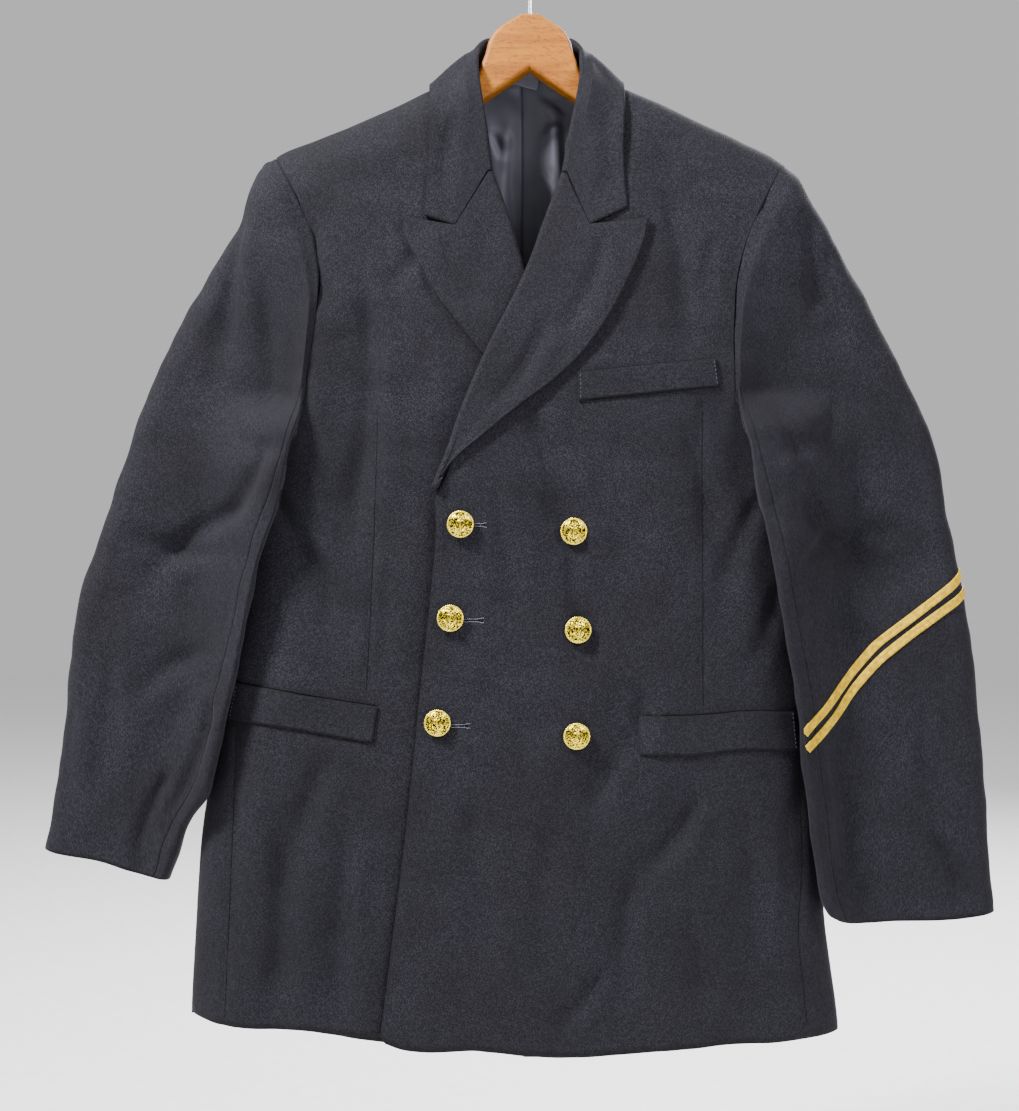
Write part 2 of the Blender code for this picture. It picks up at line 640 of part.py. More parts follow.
def collar_half(side):
    """Leaf, roll, stand and roll faces of half the collar, from the middle to the front end."""
    left = side == LEFT
    roll_rows, gorge, corner = ((ROLL_LEFT, GORGE_LEFT, COLLAR_CORNER_LEFT) if left
                                else (ROLL_RIGHT, GORGE_RIGHT, COLLAR_CORNER_RIGHT))
    front_x, front_z = roll_rows[-1]
    front_fold_y = float(front_y(front_x, front_z, side)) - STAND_OFF + ROLL_RADIUS
    fold_rows = [(side * row[0 if left else 1], row[2], row[3]) for row in COLLAR_FOLD]
    fold = curve(fold_rows + [(front_x, front_fold_y, front_z)])(COLLAR_ROWS)
    # The end of the collar is cut a seam's gap short of the lapel.
    fold[-1] += unit(fold[-2] - fold[-1]) * 2 * GAP
    edge_rows = []
    for row in COLLAR_EDGE:
        x = side * row[0 if left else 1]
        y, z = over_shoulder(x, row[2], STAND_OFF + RIDGE_ROOM)
        edge_rows.append((x, y, z))
    corner_y = float(front_y(corner[0], corner[1], side)) - STAND_OFF
    edge = curve(edge_rows + [(corner[0], corner_y, corner[1])])(COLLAR_ROWS)
    # The stand ends inside the neck seam of the panels.
    stand_rows = []
    for x, z in ((0.0, NECK_BACK_Z),) + NECK_BACK:
        depth = float(back_y(side * x, z - SEAM_IN))
        stand_rows.append((side * x * STAND_DRAWN_IN, depth - STAND_IN, z - SEAM_IN * 1.6))
    stand_rows.append((side * STAND_SIDE[X] * STAND_DRAWN_IN, 0.0, STAND_SIDE[1] - SEAM_IN * 1.6))
    for share in STAND_SHARES:
        x = front_x + side * ((STAND_FRONT[X] - abs(front_x)) * share + STAND_END_IN * (1 - share))
        z = front_z + (STAND_FRONT[1] - front_z) * share
        stand_rows.append((x, float(front_y(x, z, side)) + INSIDE - STAND_OFF + STAND_FORWARD, z))
    stand = curve(stand_rows)(COLLAR_ROWS)
    run = unit(np.gradient(fold, axis=0))
    to_edge = edge - fold
    to_stand = stand - fold
    to_edge = unit(to_edge - run * np.sum(to_edge * run, axis=1, keepdims=True))
    to_stand = unit(to_stand - run * np.sum(to_stand * run, axis=1, keepdims=True))
    down, out = unit(to_edge + to_stand), unit(to_edge - to_stand)
    radius = SLIM_ROLL + (ROLL_RADIUS - SLIM_ROLL) * smooth((COLLAR_ROWS - 0.6) / 0.4)
    centre = fold + down * radius[:, None]
    columns, faces = roll_columns(centre, out, -down, radius)
    start = columns[:, 0]
    end_flat = joined(line(start[-1][[0, 2]], gorge), line(gorge, corner), GORGE_SHARE)(COLLAR_ACROSS)
    end_points = laid(end_flat[..., 0], end_flat[..., 1], side)
    leaf = np.zeros((len(COLLAR_ROWS), len(COLLAR_ACROSS), 3))
    for k, share in enumerate(COLLAR_ACROSS):
        leaf[:, k] = start * (1 - share) + edge * share
    pull = smooth((COLLAR_ROWS - 0.55) / 0.45)[:, None, None]
    leaf += pull * (end_points - leaf[-1])[None]
    low = leaf[..., 2] < ridge(leaf[..., 0])
    in_front = leaf[..., 1] < 0
    near_ridge = 1 - smooth((ridge(leaf[..., 0]) - leaf[..., 2]) / 0.065)
    off = STAND_OFF + RIDGE_ROOM * near_ridge
    held = np.where(in_front, np.minimum(leaf[..., 1], front_y(leaf[..., 0], leaf[..., 2], side) - off),
                    np.maximum(leaf[..., 1], back_y(leaf[..., 0], leaf[..., 2]) + off))
    leaf[..., 1] = np.where(low, held, leaf[..., 1])
    over_top = smooth((0.03 - np.abs(leaf[..., 1])) / 0.03)
    leaf[..., 2] += RIDGE_ROOM * near_ridge * over_top * 0.6
    # The leaf stands up between its fold and its edge, where it goes over the shoulder.
    arched = np.sin(math.pi * COLLAR_ACROSS ** 0.75)[None] ** 1.2
    leaf[..., 2] += COLLAR_ARCH * arched * over_top
    inner = np.stack([columns[:, -1] * (1 - t) + stand * t for t in (0.35, 0.7, 1.0)], axis=1)
    return leaf, columns, inner, faces


def collar(wool):
    left, right = collar_half(LEFT), collar_half(RIGHT)
    leaf, columns, inner, faces = (np.concatenate([r[::-1], l[1:]]) for l, r in zip(left, right))
    folded_wall("collar", leaf, columns, inner, faces, wool)


# Sleeves: the outer outline from the shoulder to the cuff, as the front view shows it.
SLEEVE_OUTER_LEFT = (
    # x,     z
    (0.2130, -0.1905), (0.2215, -0.1970), (0.2270, -0.2115), (0.2450, -0.2396), (0.2768, -0.2948),
    (0.3060, -0.3490), (0.3255, -0.3893), (0.3400, -0.4293), (0.3484, -0.4694), (0.3568, -0.5094),
    (0.3680, -0.5628), (0.3784, -0.6563), (0.3846, -0.7364), (0.3915, -0.8190),
)
SLEEVE_OUTER_RIGHT = (
    # x,      z
    (-0.2130, -0.1855), (-0.2215, -0.1890), (-0.2310, -0.2090), (-0.2424, -0.2396),
    (-0.2760, -0.2948), (-0.3038, -0.3490), (-0.3226, -0.3893), (-0.3504, -0.4694),
    (-0.3642, -0.5094), (-0.3783, -0.5495), (-0.3872, -0.6162), (-0.3966, -0.6963),
    (-0.4080, -0.7665),
)
# Inner fold, from where it leaves the armhole seam to the cuff.
SLEEVE_INNER_LEFT = (
    # x,     z
    (0.1705, -0.3931), (0.1776, -0.4282), (0.1845, -0.4627), (0.1915, -0.4972), (0.2034, -0.5654),
    (0.2107, -0.6064), (0.2177, -0.6435), (0.2230, -0.6930), (0.2349, -0.7716), (0.2411, -0.8050),
    (0.2481, -0.8187),
)
SLEEVE_INNER_RIGHT = (
    # x,      z
    (-0.1866, -0.3988), (-0.1980, -0.4440), (-0.2061, -0.4874), (-0.2187, -0.5228),
    (-0.2306, -0.5738), (-0.2425, -0.6317), (-0.2544, -0.6773), (-0.2668, -0.7193),
    (-0.2819, -0.7410), (-0.3027, -0.7925),
)
CUFF_LEFT = (
    # x,     z
    (0.3915, -0.8190), (0.3585, -0.8240), (0.3072, -0.8256), (0.2605, -0.8245), (0.2481, -0.8187),
)
CUFF_RIGHT = (
    # x,      z
    (-0.4080, -0.7665), (-0.3912, -0.7702), (-0.3571, -0.7765), (-0.3288, -0.7862),
    (-0.3027, -0.7925),
)
SLEEVE_FULLNESS = (
    # share of the length, half thickness, half thickness at the inner fold
    (0.00, 0.0340, 0.0065),
    (0.12, 0.0300, 0.0078),
    (0.30, 0.0220, 0.0078),
    (0.60, 0.0180, 0.0075),
    (1.00, 0.0150, 0.0080),
)
SLEEVE_ROWS = np.array([0, 0.025, 0.06, 0.10, 0.15, 0.21, 0.28, 0.35, 0.42, 0.50, 0.58, 0.66, 0.75,
                        0.84, 0.93, 1.0])
SLEEVE_REST_Y = -0.0030   # middle of a sleeve's thickness where it hangs beside the body
SLEEVE_CLEAR = 0.0045     # room between a sleeve and the front that it lies on
SLEEVE_EASE = 0.16        # share of the length over which it leaves the armhole's shape
BACK_SHARE = 0.74         # share of the back half's top edge from the shoulder to the underarm
SLEEVE_LEAVES = 0.0050    # how far a sleeve stands off the body soon after its seam
SIDE_ROOM = 0.0040        # more room between them where the body rounds away
SLEEVE_SEAM = 0.0021      # room between a sleeve and the armhole, whose walls turn past each other
SEAM_COLUMNS_IN_FRONT = 3  # the sleeve's front seam lies this many columns short of its inner fold
FOLD_NODES = np.array((0.93, 0.98))
sleeve_half, sleeve_fold_half = through(SLEEVE_FULLNESS, 1), through(SLEEVE_FULLNESS, 2)
SLEEVE_FOLDS = (
    # side, x0,     z0,     x1,     z1,    width, depth
    (LEFT, 0.232, -0.250, 0.250, -0.330, 0.014, 0.0035),
    (LEFT, 0.205, -0.470, 0.300, -0.540, 0.022, 0.0040),
    (LEFT, 0.235, -0.560, 0.330, -0.520, 0.018, 0.0030),
    (LEFT, 0.335, -0.760, 0.362, -0.812, 0.012, 0.0025),
    (RIGHT, -0.246, -0.245, -0.258, -0.370, 0.014, 0.0040),
    (RIGHT, -0.230, -0.480, -0.320, -0.540, 0.022, 0.0040),
    (RIGHT, -0.268, -0.640, -0.300, -0.735, 0.014, -0.0030),
    (RIGHT, -0.300, -0.735, -0.326, -0.785, 0.012, 0.0030),
)


def on_body(x, z, side, facing):
    """How far a sleeve has to come forward to lie on the body, from 0 to 1."""
    start = Z_UNDERARM + (0.050 if facing < 0 else 0.005)
    return smooth((side_x(z, side) + 0.035 - np.abs(x)) / 0.070) * smooth((start - z) / 0.070)


def bulge(across, width, outer_half, inner_half):
    """Share of its half thickness that a sleeve has, rounded at its outer edge and inner fold."""
    return rounding(across * width, outer_half) * rounding((1 - across) * width, inner_half)


def sleeve_creases(x, z, side):
    total = np.zeros(np.broadcast(x, z).shape)
    for which, x0, z0, x1, z1, width, depth in SLEEVE_FOLDS:
        if which != side:
            continue
        run = np.array((x1 - x0, z1 - z0))
        inside = np.clip(((x - x0) * run[0] + (z - z0) * run[1]) / (run @ run), 0, 1)
        away = np.hypot(x - x0 - inside * run[0], z - z0 - inside * run[1])
        total = total + depth * np.exp(-(away / width) ** 2)
    return total


def sleeve_grids(side, front_across, back_across, rows):
    """Outer points of a sleeve's front and back halves, from its outer edge to its inner fold."""
    left = side == LEFT
    outer = curve(SLEEVE_OUTER_LEFT if left else SLEEVE_OUTER_RIGHT)
    inner = curve(SLEEVE_INNER_LEFT if left else SLEEVE_INNER_RIGHT)
    cuff = curve(CUFF_LEFT if left else CUFF_RIGHT)
    armhole = ARMHOLE_LEFT if left else ARMHOLE_RIGHT
    seam = curve(armhole)
    hidden_part = share_of(armhole, FOLD_POINT)
    back_half = curve([(side * x, z) for x, z in ARMHOLE_BACK])

    def front_seam(t):
        return seam(1 - np.asarray(t, float) * (1 - hidden_part))

    def back_seam(t):
        t = np.asarray(t, float)
        up_back = back_half(1 - np.clip(t / BACK_SHARE, 0, 1))
        under = seam(np.clip((t - BACK_SHARE) / (1 - BACK_SHARE), 0, 1) * hidden_part)
        return np.where((t <= BACK_SHARE)[..., None], up_back, under)

    ease = smooth(rows / SLEEVE_EASE)[:, None]
    share = rows[:, None]
    width = np.linalg.norm(outer(rows) - inner(rows), axis=1)[:, None]
    made = []
    for seam_curve, facing, across in ((front_seam, -1, front_across), (back_seam, 1, back_across)):
        flat = coons(seam_curve, cuff, outer, inner, across, rows)
        x, z = flat[..., 0], flat[..., 1]
        lies = on_body(x, z, side, facing)
        forward = depth_front(z) + SLEEVE_CLEAR + sleeve_fold_half(share)
        middle = SLEEVE_REST_Y - (SLEEVE_REST_Y + forward) * lies
        round_off = bulge(across[None], width, sleeve_half(share), sleeve_fold_half(share))
        half = (sleeve_half(share) * (1 - lies) + sleeve_fold_half(share) * lies) * round_off
        free = middle + facing * half
        leaves = SLEEVE_LEAVES * smooth(share / 0.03)
        if facing < 0:
            free = free + sleeve_creases(x, z, side) * round_off
            held = front_y(x, z, side) - leaves
        else:
            held = np.where(across[None] <= BACK_SHARE, back_y(x, z), front_y(x, z, side) - leaves)
        y = held * (1 - ease) + free * ease
        clear = (SLEEVE_CLEAR + SIDE_ROOM * (1 - body_round(x, z))) * smooth(share / 0.03)
        over_body = np.abs(x) < side_x(z, side) + SLEEVE_CLEAR
        if facing < 0:
            # The front lies in front of the hidden half, folded over it along the inner edge.
            turned = 2 * sleeve_fold_half(share) * rounding((1 - across) * width, sleeve_fold_half(share))
            turned = turned * smooth(share / 0.03)
            below = smooth((armhole[FOLD_POINT][1] + 0.012 - z) / 0.042) * over_body
            y = y + (np.minimum(y, front_y(x, z, side) - clear - turned) - y) * below
        else:
            hidden_part_here = (across[None] > BACK_SHARE) & over_body
            behind = (across[None] <= BACK_SHARE) & over_body & (z < Z_UNDERARM + 0.060)
            y = np.where(behind, np.maximum(y, back_y(x, z) + clear), y)
            y = np.where(hidden_part_here, np.minimum(y, front_y(x, z, side) - clear), y)
        made.append(np.stack([x, y, z], axis=-1))
    return made


def sleeve_ring(side):
    """Outer points all round a sleeve and the way that each faces."""
    hidden_across = BACK_SHARE + (1 - BACK_SHARE) * np.r_[SEAM_HIDDEN, FOLD_NODES, 1.0]
    back_across = np.r_[SEAM_BACK * BACK_SHARE, hidden_across]
    front, back = sleeve_grids(side, SEAM_FRONT, back_across, SLEEVE_ROWS)
    ring = np.concatenate([front, back[:, ::-1][:, 1:-1]], axis=1)
    # The ring is closed for the normals, then cut at the outer seam and the inner seam.
    closed = np.concatenate([ring[:, -1:], ring, ring[:, :1]], axis=1)
    normal = normals(closed)[:, 1:-1]
    centre = ring.mean(axis=1, keepdims=True)
    if np.sum(normal * (ring - centre)) < 0:
        normal = -normal
    # The first row stands clear of the armhole, square to the seam.
    along = np.gradient(np.concatenate([ring[:1, -1:], ring[:1], ring[:1, :1]], axis=1)[0], axis=0)[1:-1]
    away = unit(np.cross(normal[0], along))
    away = away * np.sign(np.sum(away * (ring[1] - ring[0]), axis=1, keepdims=True))
    ring[0] += away * SLEEVE_SEAM
    return ring, normal


def sleeve(side, wool):
    ring, normal = sleeve_ring(side)
    inside = ring - normal * WALL
    cut = len(SEAM_FRONT) - 1 - SEAM_COLUMNS_IN_FRONT
    name = "left" if side == LEFT else "right"
    top_columns = list(range(0, cut + 1))
    under_columns = list(range(cut, ring.shape[1])) + [0]
    for label, columns in (("top", top_columns), ("under", under_columns)):
        outer_grid, inner_grid = ring[:, columns].copy(), inside[:, columns].copy()
        # Each half ends half a gap short of the two seams.
        for edge, neighbour in ((0, 1), (-1, -2)):
            pull = unit(outer_grid[:, neighbour] - outer_grid[:, edge]) * GAP * 0.6
            outer_grid[:, edge] += pull
            inner_grid[:, edge] += pull
        if np.sum(normals(outer_grid) * normal[:, columns]) < 0:
            outer_grid, inner_grid = outer_grid[:, ::-1], inner_grid[:, ::-1]
        wall(f"sleeve_{name}_{label}", outer_grid, inner_grid, wool)


# What lies on the fronts: corners of each welt, clockwise from its top left as seen.
WELTS = (
    # name, side of the front, top edge, bottom edge
    ("breast_welt", LEFT, ((0.0389, -0.3726), (0.0950, -0.3664), (0.1513, -0.3606)),
     ((0.0393, -0.3948), (0.0965, -0.3886), (0.1542, -0.3825))),
    ("pocket_welt_left", LEFT, ((0.0900, -0.6528), (0.1465, -0.6512), (0.1733, -0.6487), (0.2187, -0.6502)),
     ((0.0900, -0.6841), (0.1363, -0.6840), (0.1714, -0.6799), (0.2218, -0.6820))),
    ("pocket_welt_right", RIGHT, ((-0.2438, -0.6262), (-0.2097, -0.6309), (-0.1720, -0.6374), (-0.1247, -0.6446)),
     ((-0.2504, -0.6558), (-0.1979, -0.6619), (-0.1650, -0.6680), (-0.1294, -0.6741))),
)
WELT_WALL = 0.0015
WELT_OFF = 0.0013        # room under a welt, whose facets differ from the front's
BUTTON_PLACES = (
    # x,      z
    (-0.0567, -0.4950), (-0.0651, -0.5716), (-0.0758, -0.6575),
    (0.0358, -0.5006), (0.0389, -0.5816), (0.0381, -0.6684),
)
BUTTON_OFF = 0.0008
BUTTON_STEPS = 14
BUTTON_PROFILE = (
    # radius, height over the cloth
    (0.0000, 0.0080), (0.0075, 0.0068), (0.0111, 0.0040), (0.0106, 0.0022), (0.0025, 0.0022),
    (0.0025, 0.0000), (0.0000, 0.0000),
)
# Service stripes: middle lines on the wearer's left sleeve, from its inner fold to its outer edge.
STRIPES = (
    ("service_stripe_upper", ((0.2230, -0.6655), (0.2442, -0.6462), (0.2662, -0.6202), (0.2883, -0.5955),
                              (0.3211, -0.5699), (0.3516, -0.5460))),
    ("service_stripe_lower", ((0.2250, -0.6785), (0.2480, -0.6595), (0.2695, -0.6319), (0.2921, -0.6071),
                              (0.3211, -0.5834), (0.3526, -0.5607))),
)
STRIPE_HALF = 0.0035
STRIPE_WALL = 0.0010
STRIPE_OFF = 0.0014
STRIPE_POINTS = 28
START_COLUMNS = 1.3      # how far from the inner fold it starts, in columns
WRAP_COLUMNS = 1.6       # how far a stripe goes on round the outer edge, in the sleeve's own columns


def between(grid, row, column):
    """Points of a grid read between its rows and columns, its columns going round."""
    r0 = np.clip(np.floor(row).astype(int), 0, grid.shape[0] - 2)
    c0 = np.floor(column).astype(int)
    u, v = (column - c0)[..., None], (row - r0)[..., None]
    c0, c1 = c0 % grid.shape[1], (c0 + 1) % grid.shape[1]
    low = grid[r0, c0] * (1 - u) + grid[r0, c1] * u
    high = grid[r0 + 1, c0] * (1 - u) + grid[r0 + 1, c1] * u
    return low * (1 - v) + high * v


def finder(grid, last_column):
    """Gives the row and column of a grid at which a place is seen from the front."""
    rows, columns = np.meshgrid(np.linspace(0, len(grid) - 1, 361), np.linspace(0, last_column, 361),
                                indexing="ij")
    seen = between(grid, rows, columns)

    def at(x, z):
        nearest = np.argmin((seen[..., 0] - x) ** 2 + (seen[..., 2] - z) ** 2)
        return rows.flat[nearest], columns.flat[nearest]

    return at


def facets(side):
    """Gives the point of a front's own facets at a place seen from the front."""
    grid = front_grid(side)
    find = finder(grid, grid.shape[1] - 1)
    return lambda x, z: between(grid, *np.array([find(x, z)]).T)[0]


def welts(wool):
    for name, side, top, bottom in WELTS:
        point = facets(side)
        steps = np.linspace(0, 1, 11)
        upper, lower = curve(top)(steps), curve(bottom)(steps)
        grid = np.array([[point(x, z) for x, z in row] for row in (lower, (lower + upper) / 2, upper)])
        grid = grid + outward(grid, FORWARD) * (WELT_OFF + WELT_WALL)
        cloth(name, grid, wool, FORWARD, WELT_WALL)


def front_normal(x, z):
    step = 0.004
    over_x = (front_y(x + step, z, LEFT) - front_y(x - step, z, LEFT)) / (2 * step)
    over_z = (front_y(x, z + step, LEFT) - front_y(x, z - step, LEFT)) / (2 * step)
    return Vector((float(over_x), -1.0, float(over_z))).normalized()


def buttons(gilt):
    point = facets(LEFT)
    for index, (x, z) in enumerate(BUTTON_PLACES):
        mesh = bpy.data.meshes.new(f"button_{index + 1}")
        points = [(radius, 0, height) for radius, height in BUTTON_PROFILE]
        mesh.from_pydata(points, [(i, i + 1) for i in range(len(points) - 1)], [])
        facing = front_normal(x, z)
        foot = Vector(point(x, z)) + facing * BUTTON_OFF
        button = add(mesh.name, mesh, gilt, foot)
        button.rotation_mode = "QUATERNION"
        button.rotation_quaternion = facing.to_track_quat("Z", "Y")
        turned = button.modifiers.new("Turned", "SCREW")
        turned.steps = turned.render_steps = BUTTON_STEPS
        turned.use_merge_vertices = True
        turned.merge_threshold = 1e-5


def stripes(braid):
    ring, normal = sleeve_ring(LEFT)
    find = finder(ring, len(SEAM_FRONT) - 1 - START_COLUMNS)
    for name, places in STRIPES:
        middle = curve(places)(np.linspace(0, 1, STRIPE_POINTS))
        run = unit(np.gradient(middle, axis=0))
        square = np.stack([-run[:, 1], run[:, 0]], axis=1)
        lines = []
        for across in (-STRIPE_HALF, 0.0, STRIPE_HALF):
            line_at = np.array([find(x, z) for x, z in middle + square * across])
            slope = (line_at[-1] - line_at[-5]) / (line_at[-1, 1] - line_at[-5, 1])
            beyond = [line_at[-1] + slope * (target - line_at[-1, 1])
                      for target in np.linspace(line_at[-1, 1] * 0.6, -WRAP_COLUMNS, 7)]
            lines.append(np.vstack([line_at, beyond]))
        at = np.stack(lines)
        facing = unit(between(normal, at[..., 0], at[..., 1]))
        outer = between(ring, at[..., 0], at[..., 1]) + facing * (STRIPE_OFF + STRIPE_WALL)
        inner = outer - facing * STRIPE_WALL
        if np.sum(normals(outer) * facing) < 0:
            outer, inner = outer[::-1], inner[::-1]
        wall(name, outer, inner, braid)


# Lining of the back, and the label under the neck.
LINING_WALL = 0.0010
LINING_IN = 0.0042       # from the back's outer face to the lining
LINING_TOP = (
    # x from the middle, z
    (0.000, -0.1080), (0.022, -0.1095), (0.045, -0.1185), (0.060, -0.1360), (0.090, -0.1500),
    (0.120, -0.1640),
)
LINING_LOW = -0.4500
LABEL_MIDDLE = (-0.0035, -0.1100)
LABEL_HALF = (0.0120, 0.0080)
LABEL_TILT = math.radians(-16)
LABEL_Y = 0.0208
LABEL_LEAN = 0.19        # how much further back it lies for each metre up


def lining(satin):
    top = through(LINING_TOP)
    for side, name in ((LEFT, "lining_left"), (RIGHT, "lining_right")):
        out = np.linspace(GAP, LINING_TOP[-1][0], 8)
        x = MIDDLE_BACK_X * (1 - out / out[-1]) + out * side
        share = np.linspace(0, 1, 10)[:, None]
        z = LINING_LOW * (1 - share) + top(out)[None] * share
        x = np.broadcast_to(x, z.shape)
        grid = np.stack([x, back_y(x, z), z], axis=-1)
        grid = grid - outward(grid, BACKWARD) * LINING_IN
        grid[:, 0, X] = x[:, 0]
        cloth(name, grid, satin, BACKWARD, LINING_WALL, square_edges=(("inner", X),))


def label(satin):
    u, v = np.meshgrid(np.linspace(-1, 1, 4) * LABEL_HALF[0], np.linspace(-1, 1, 3) * LABEL_HALF[1])
    x = LABEL_MIDDLE[0] + u * math.cos(LABEL_TILT) - v * math.sin(LABEL_TILT)
    z = LABEL_MIDDLE[1] + u * math.sin(LABEL_TILT) + v * math.cos(LABEL_TILT)
    y = LABEL_Y + (z - LABEL_MIDDLE[1]) * LABEL_LEAN
    cloth("neck_label", np.stack([x, y, z], axis=-1), satin, FORWARD, LINING_WALL)


# Hanger: the wood's outline on the wearer's left, and the hook.
WOOD_HALF = 0.0095
WOOD_BEVEL = 0.0040
UNDER_RIDGE = 0.0060     # from the shoulder line of the cloth to the top of the arm
ARM_END = 0.1960
WOOD_NECK = (
    # x, z of the top edge, from the hook to where the arm meets the shoulders
    (0.0070, -0.0646), (0.0173, -0.0704), (0.0270, -0.0772), (0.0325, -0.0839), (0.0350, -0.0897),
    (0.0365, -0.0960), (0.0395, -0.1045), (0.0435, -0.1155), (0.0500, -0.1275), (0.0600, -0.1345),
)
WOOD_UNDER = (
    # x, z of the lower edge, from the arm's end to the middle
    (0.1950, -0.2040), (0.1500, -0.1900), (0.1000, -0.1700), (0.0700, -0.1560), (0.0388, -0.1378),
)
WOOD_APEX = (0.0, -0.1108)
WIRE = 0.0018
HOOK_INNER = 0.0190
SHANK_LOW = -0.0638


def hanger_wood(wood):
    halves = []
    for side in (LEFT, RIGHT):
        half = [(side * x, z) for x, z in WOOD_NECK]
        xs = np.linspace(0.078, ARM_END - 0.008, 8) * side
        half += [(x, float(ridge(x)) - UNDER_RIDGE) for x in xs]
        tip_z = float(ridge(side * ARM_END)) - UNDER_RIDGE
        half += [(side * (ARM_END + 0.001), tip_z - 0.0050), (side * (ARM_END + 0.003), tip_z - 0.0120)]
        half += [(side * x, z) for x, z in WOOD_UNDER]
        halves.append(half)
    outline = halves[0] + [WOOD_APEX] + halves[1][::-1]
    flat = bpy.data.curves.new("hanger_wood", "CURVE")
    flat.dimensions = "2D"
    flat.fill_mode = "BOTH"
    flat.extrude = WOOD_HALF - WOOD_BEVEL
    flat.bevel_depth = WOOD_BEVEL
    flat.offset = -WOOD_BEVEL
    flat.bevel_resolution = 1
    spline = flat.splines.new("POLY")
    spline.points.add(len(outline) - 1)
    for point, (x, z) in zip(spline.points, outline):
        point.co = (x, z, 0, 1)
    spline.use_cyclic_u = True
    body = bpy.data.objects.new("hanger_wood_outline", flat)
    body.rotation_euler = (math.pi / 2, 0, 0)
    collection.objects.link(body)
    mesh = meshed(body, "hanger_wood")
    mesh.set_sharp_from_angle(angle=math.radians(40))
    add("hanger_wood", mesh, wood)


def meshed(thing, name):
    """A curve's mesh with its caps welded; the curve goes."""
    bpy.context.view_layer.update()
    shown = thing.evaluated_get(bpy.context.evaluated_depsgraph_get())
    mesh = bpy.data.meshes.new_from_object(shown)
    mesh.transform(thing.matrix_world)
    mesh.name = name
    welded = bmesh.new()
    welded.from_mesh(mesh)
    bmesh.ops.remove_doubles(welded, verts=welded.verts, dist=1e-5)
    welded.to_mesh(mesh)
    welded.free()
    mesh.shade_smooth()
    bpy.data.objects.remove(thing)
    return mesh


def hanger_hook(steel):
    """A wire hook whose inner top is the origin, from its tip round to its foot in the wood."""
    radius = HOOK_INNER + WIRE
    middle = -HOOK_INNER
    turn = np.radians(np.linspace(208, -52, 23))
    route = [(radius * math.cos(a), middle + radius * math.sin(a)) for a in turn]
    foot_in = [(0.0040, -0.0388), (0.0012, -0.0425), (0.0000, -0.0475), (0.0, -0.0550), (0.0, SHANK_LOW)]
    wire = bpy.data.curves.new("hanger_hook", "CURVE")
    wire.dimensions = "3D"
    wire.bevel_depth = WIRE
    wire.bevel_resolution = 2
    wire.use_fill_caps = True
    spline = wire.splines.new("POLY")
    points = route + foot_in
    spline.points.add(len(points) - 1)
    for point, (x, z) in zip(spline.points, points):
        point.co = (x, 0, z, 1)
    body = bpy.data.objects.new("hanger_hook_wire", wire)
    collection.objects.link(body)
    add("hanger_hook", meshed(body, "hanger_hook"), steel)


start()
wool = material("Navy wool serge", (0.012, 0.013, 0.022), 0.9)
satin = material("Black satin", (0.010, 0.010, 0.013), 0.35)
gilt = material("Gilt brass", (0.83, 0.60, 0.16), 0.25, 1.0)
braid = material("Gold braid", (0.72, 0.42, 0.07), 0.5, 0.3)
wood = material("Varnished beech", (0.62, 0.31, 0.10), 0.35)
steel = material("Steel wire", (0.60, 0.60, 0.60), 0.25, 1.0)
fronts(wool)
backs(wool)
vent(wool)
for side in (LEFT, RIGHT):
    lapel(side, wool)
    sleeve(side, wool)
collar(wool)
welts(wool)
lining(satin)
label(satin)
buttons(gilt)
stripes(braid)
hanger_wood(wood)
hanger_hook(steel)
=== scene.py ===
"""Double-breasted naval uniform coat on a wooden hanger: the cloth's folds, finishes and sewing.

Metres, +Z up. The origin is the inner top of the hanger's hook, the coat's front faces -Y,
and the wearer's left is +X. A side is LEFT or RIGHT as the wearer has them. Outlines and places are
(x, z) as seen from the front. Folds are x0, z0, x1, z1, half width and depth, from one end to the other,
and creases are x0, z0, x1, z1, bend, half width and depth, the bend in thousandths of the length.
"""

import math

import bmesh
import bpy
import numpy as np
from mathutils import Matrix, Vector


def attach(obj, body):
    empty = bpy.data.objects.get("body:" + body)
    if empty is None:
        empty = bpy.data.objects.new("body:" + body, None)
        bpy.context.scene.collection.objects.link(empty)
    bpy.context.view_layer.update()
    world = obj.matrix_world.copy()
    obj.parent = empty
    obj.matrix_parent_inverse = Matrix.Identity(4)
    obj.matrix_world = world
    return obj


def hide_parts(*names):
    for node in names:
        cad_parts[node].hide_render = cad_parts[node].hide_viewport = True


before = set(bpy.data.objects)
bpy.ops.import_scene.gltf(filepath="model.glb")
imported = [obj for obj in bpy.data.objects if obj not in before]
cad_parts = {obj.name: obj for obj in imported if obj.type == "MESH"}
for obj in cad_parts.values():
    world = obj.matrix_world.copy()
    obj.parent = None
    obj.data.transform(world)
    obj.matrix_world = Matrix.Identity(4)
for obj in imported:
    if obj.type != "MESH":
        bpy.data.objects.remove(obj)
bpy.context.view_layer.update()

LEFT, RIGHT = 1, -1
SIDE_NAMES = {LEFT: "left", RIGHT: "right"}
X, Y, Z = 0, 1, 2
FORWARD, BACKWARD = np.array((0, -1.0, 0)), np.array((0, 1.0, 0))


def metres(table):
    """A table of millimetres, turned into metres."""
    if isinstance(table, dict):
        return {key: metres(rows) for key, rows in table.items()}
    return tuple(metres(row) for row in table) if isinstance(table, tuple) else table / 1000


# Sizes of the cloth.
WALL = 0.002  # coat cloth with its canvas
GAP = 0.0003  # space left at every seam
SIDE_RADIUS = 0.07  # how far in from its side the body rounds away
SHOULDER_RADIUS = 0.05  # how far below its shoulder line the body rounds away
Z_UNDERARM = -0.432
Z_VENT = -0.715

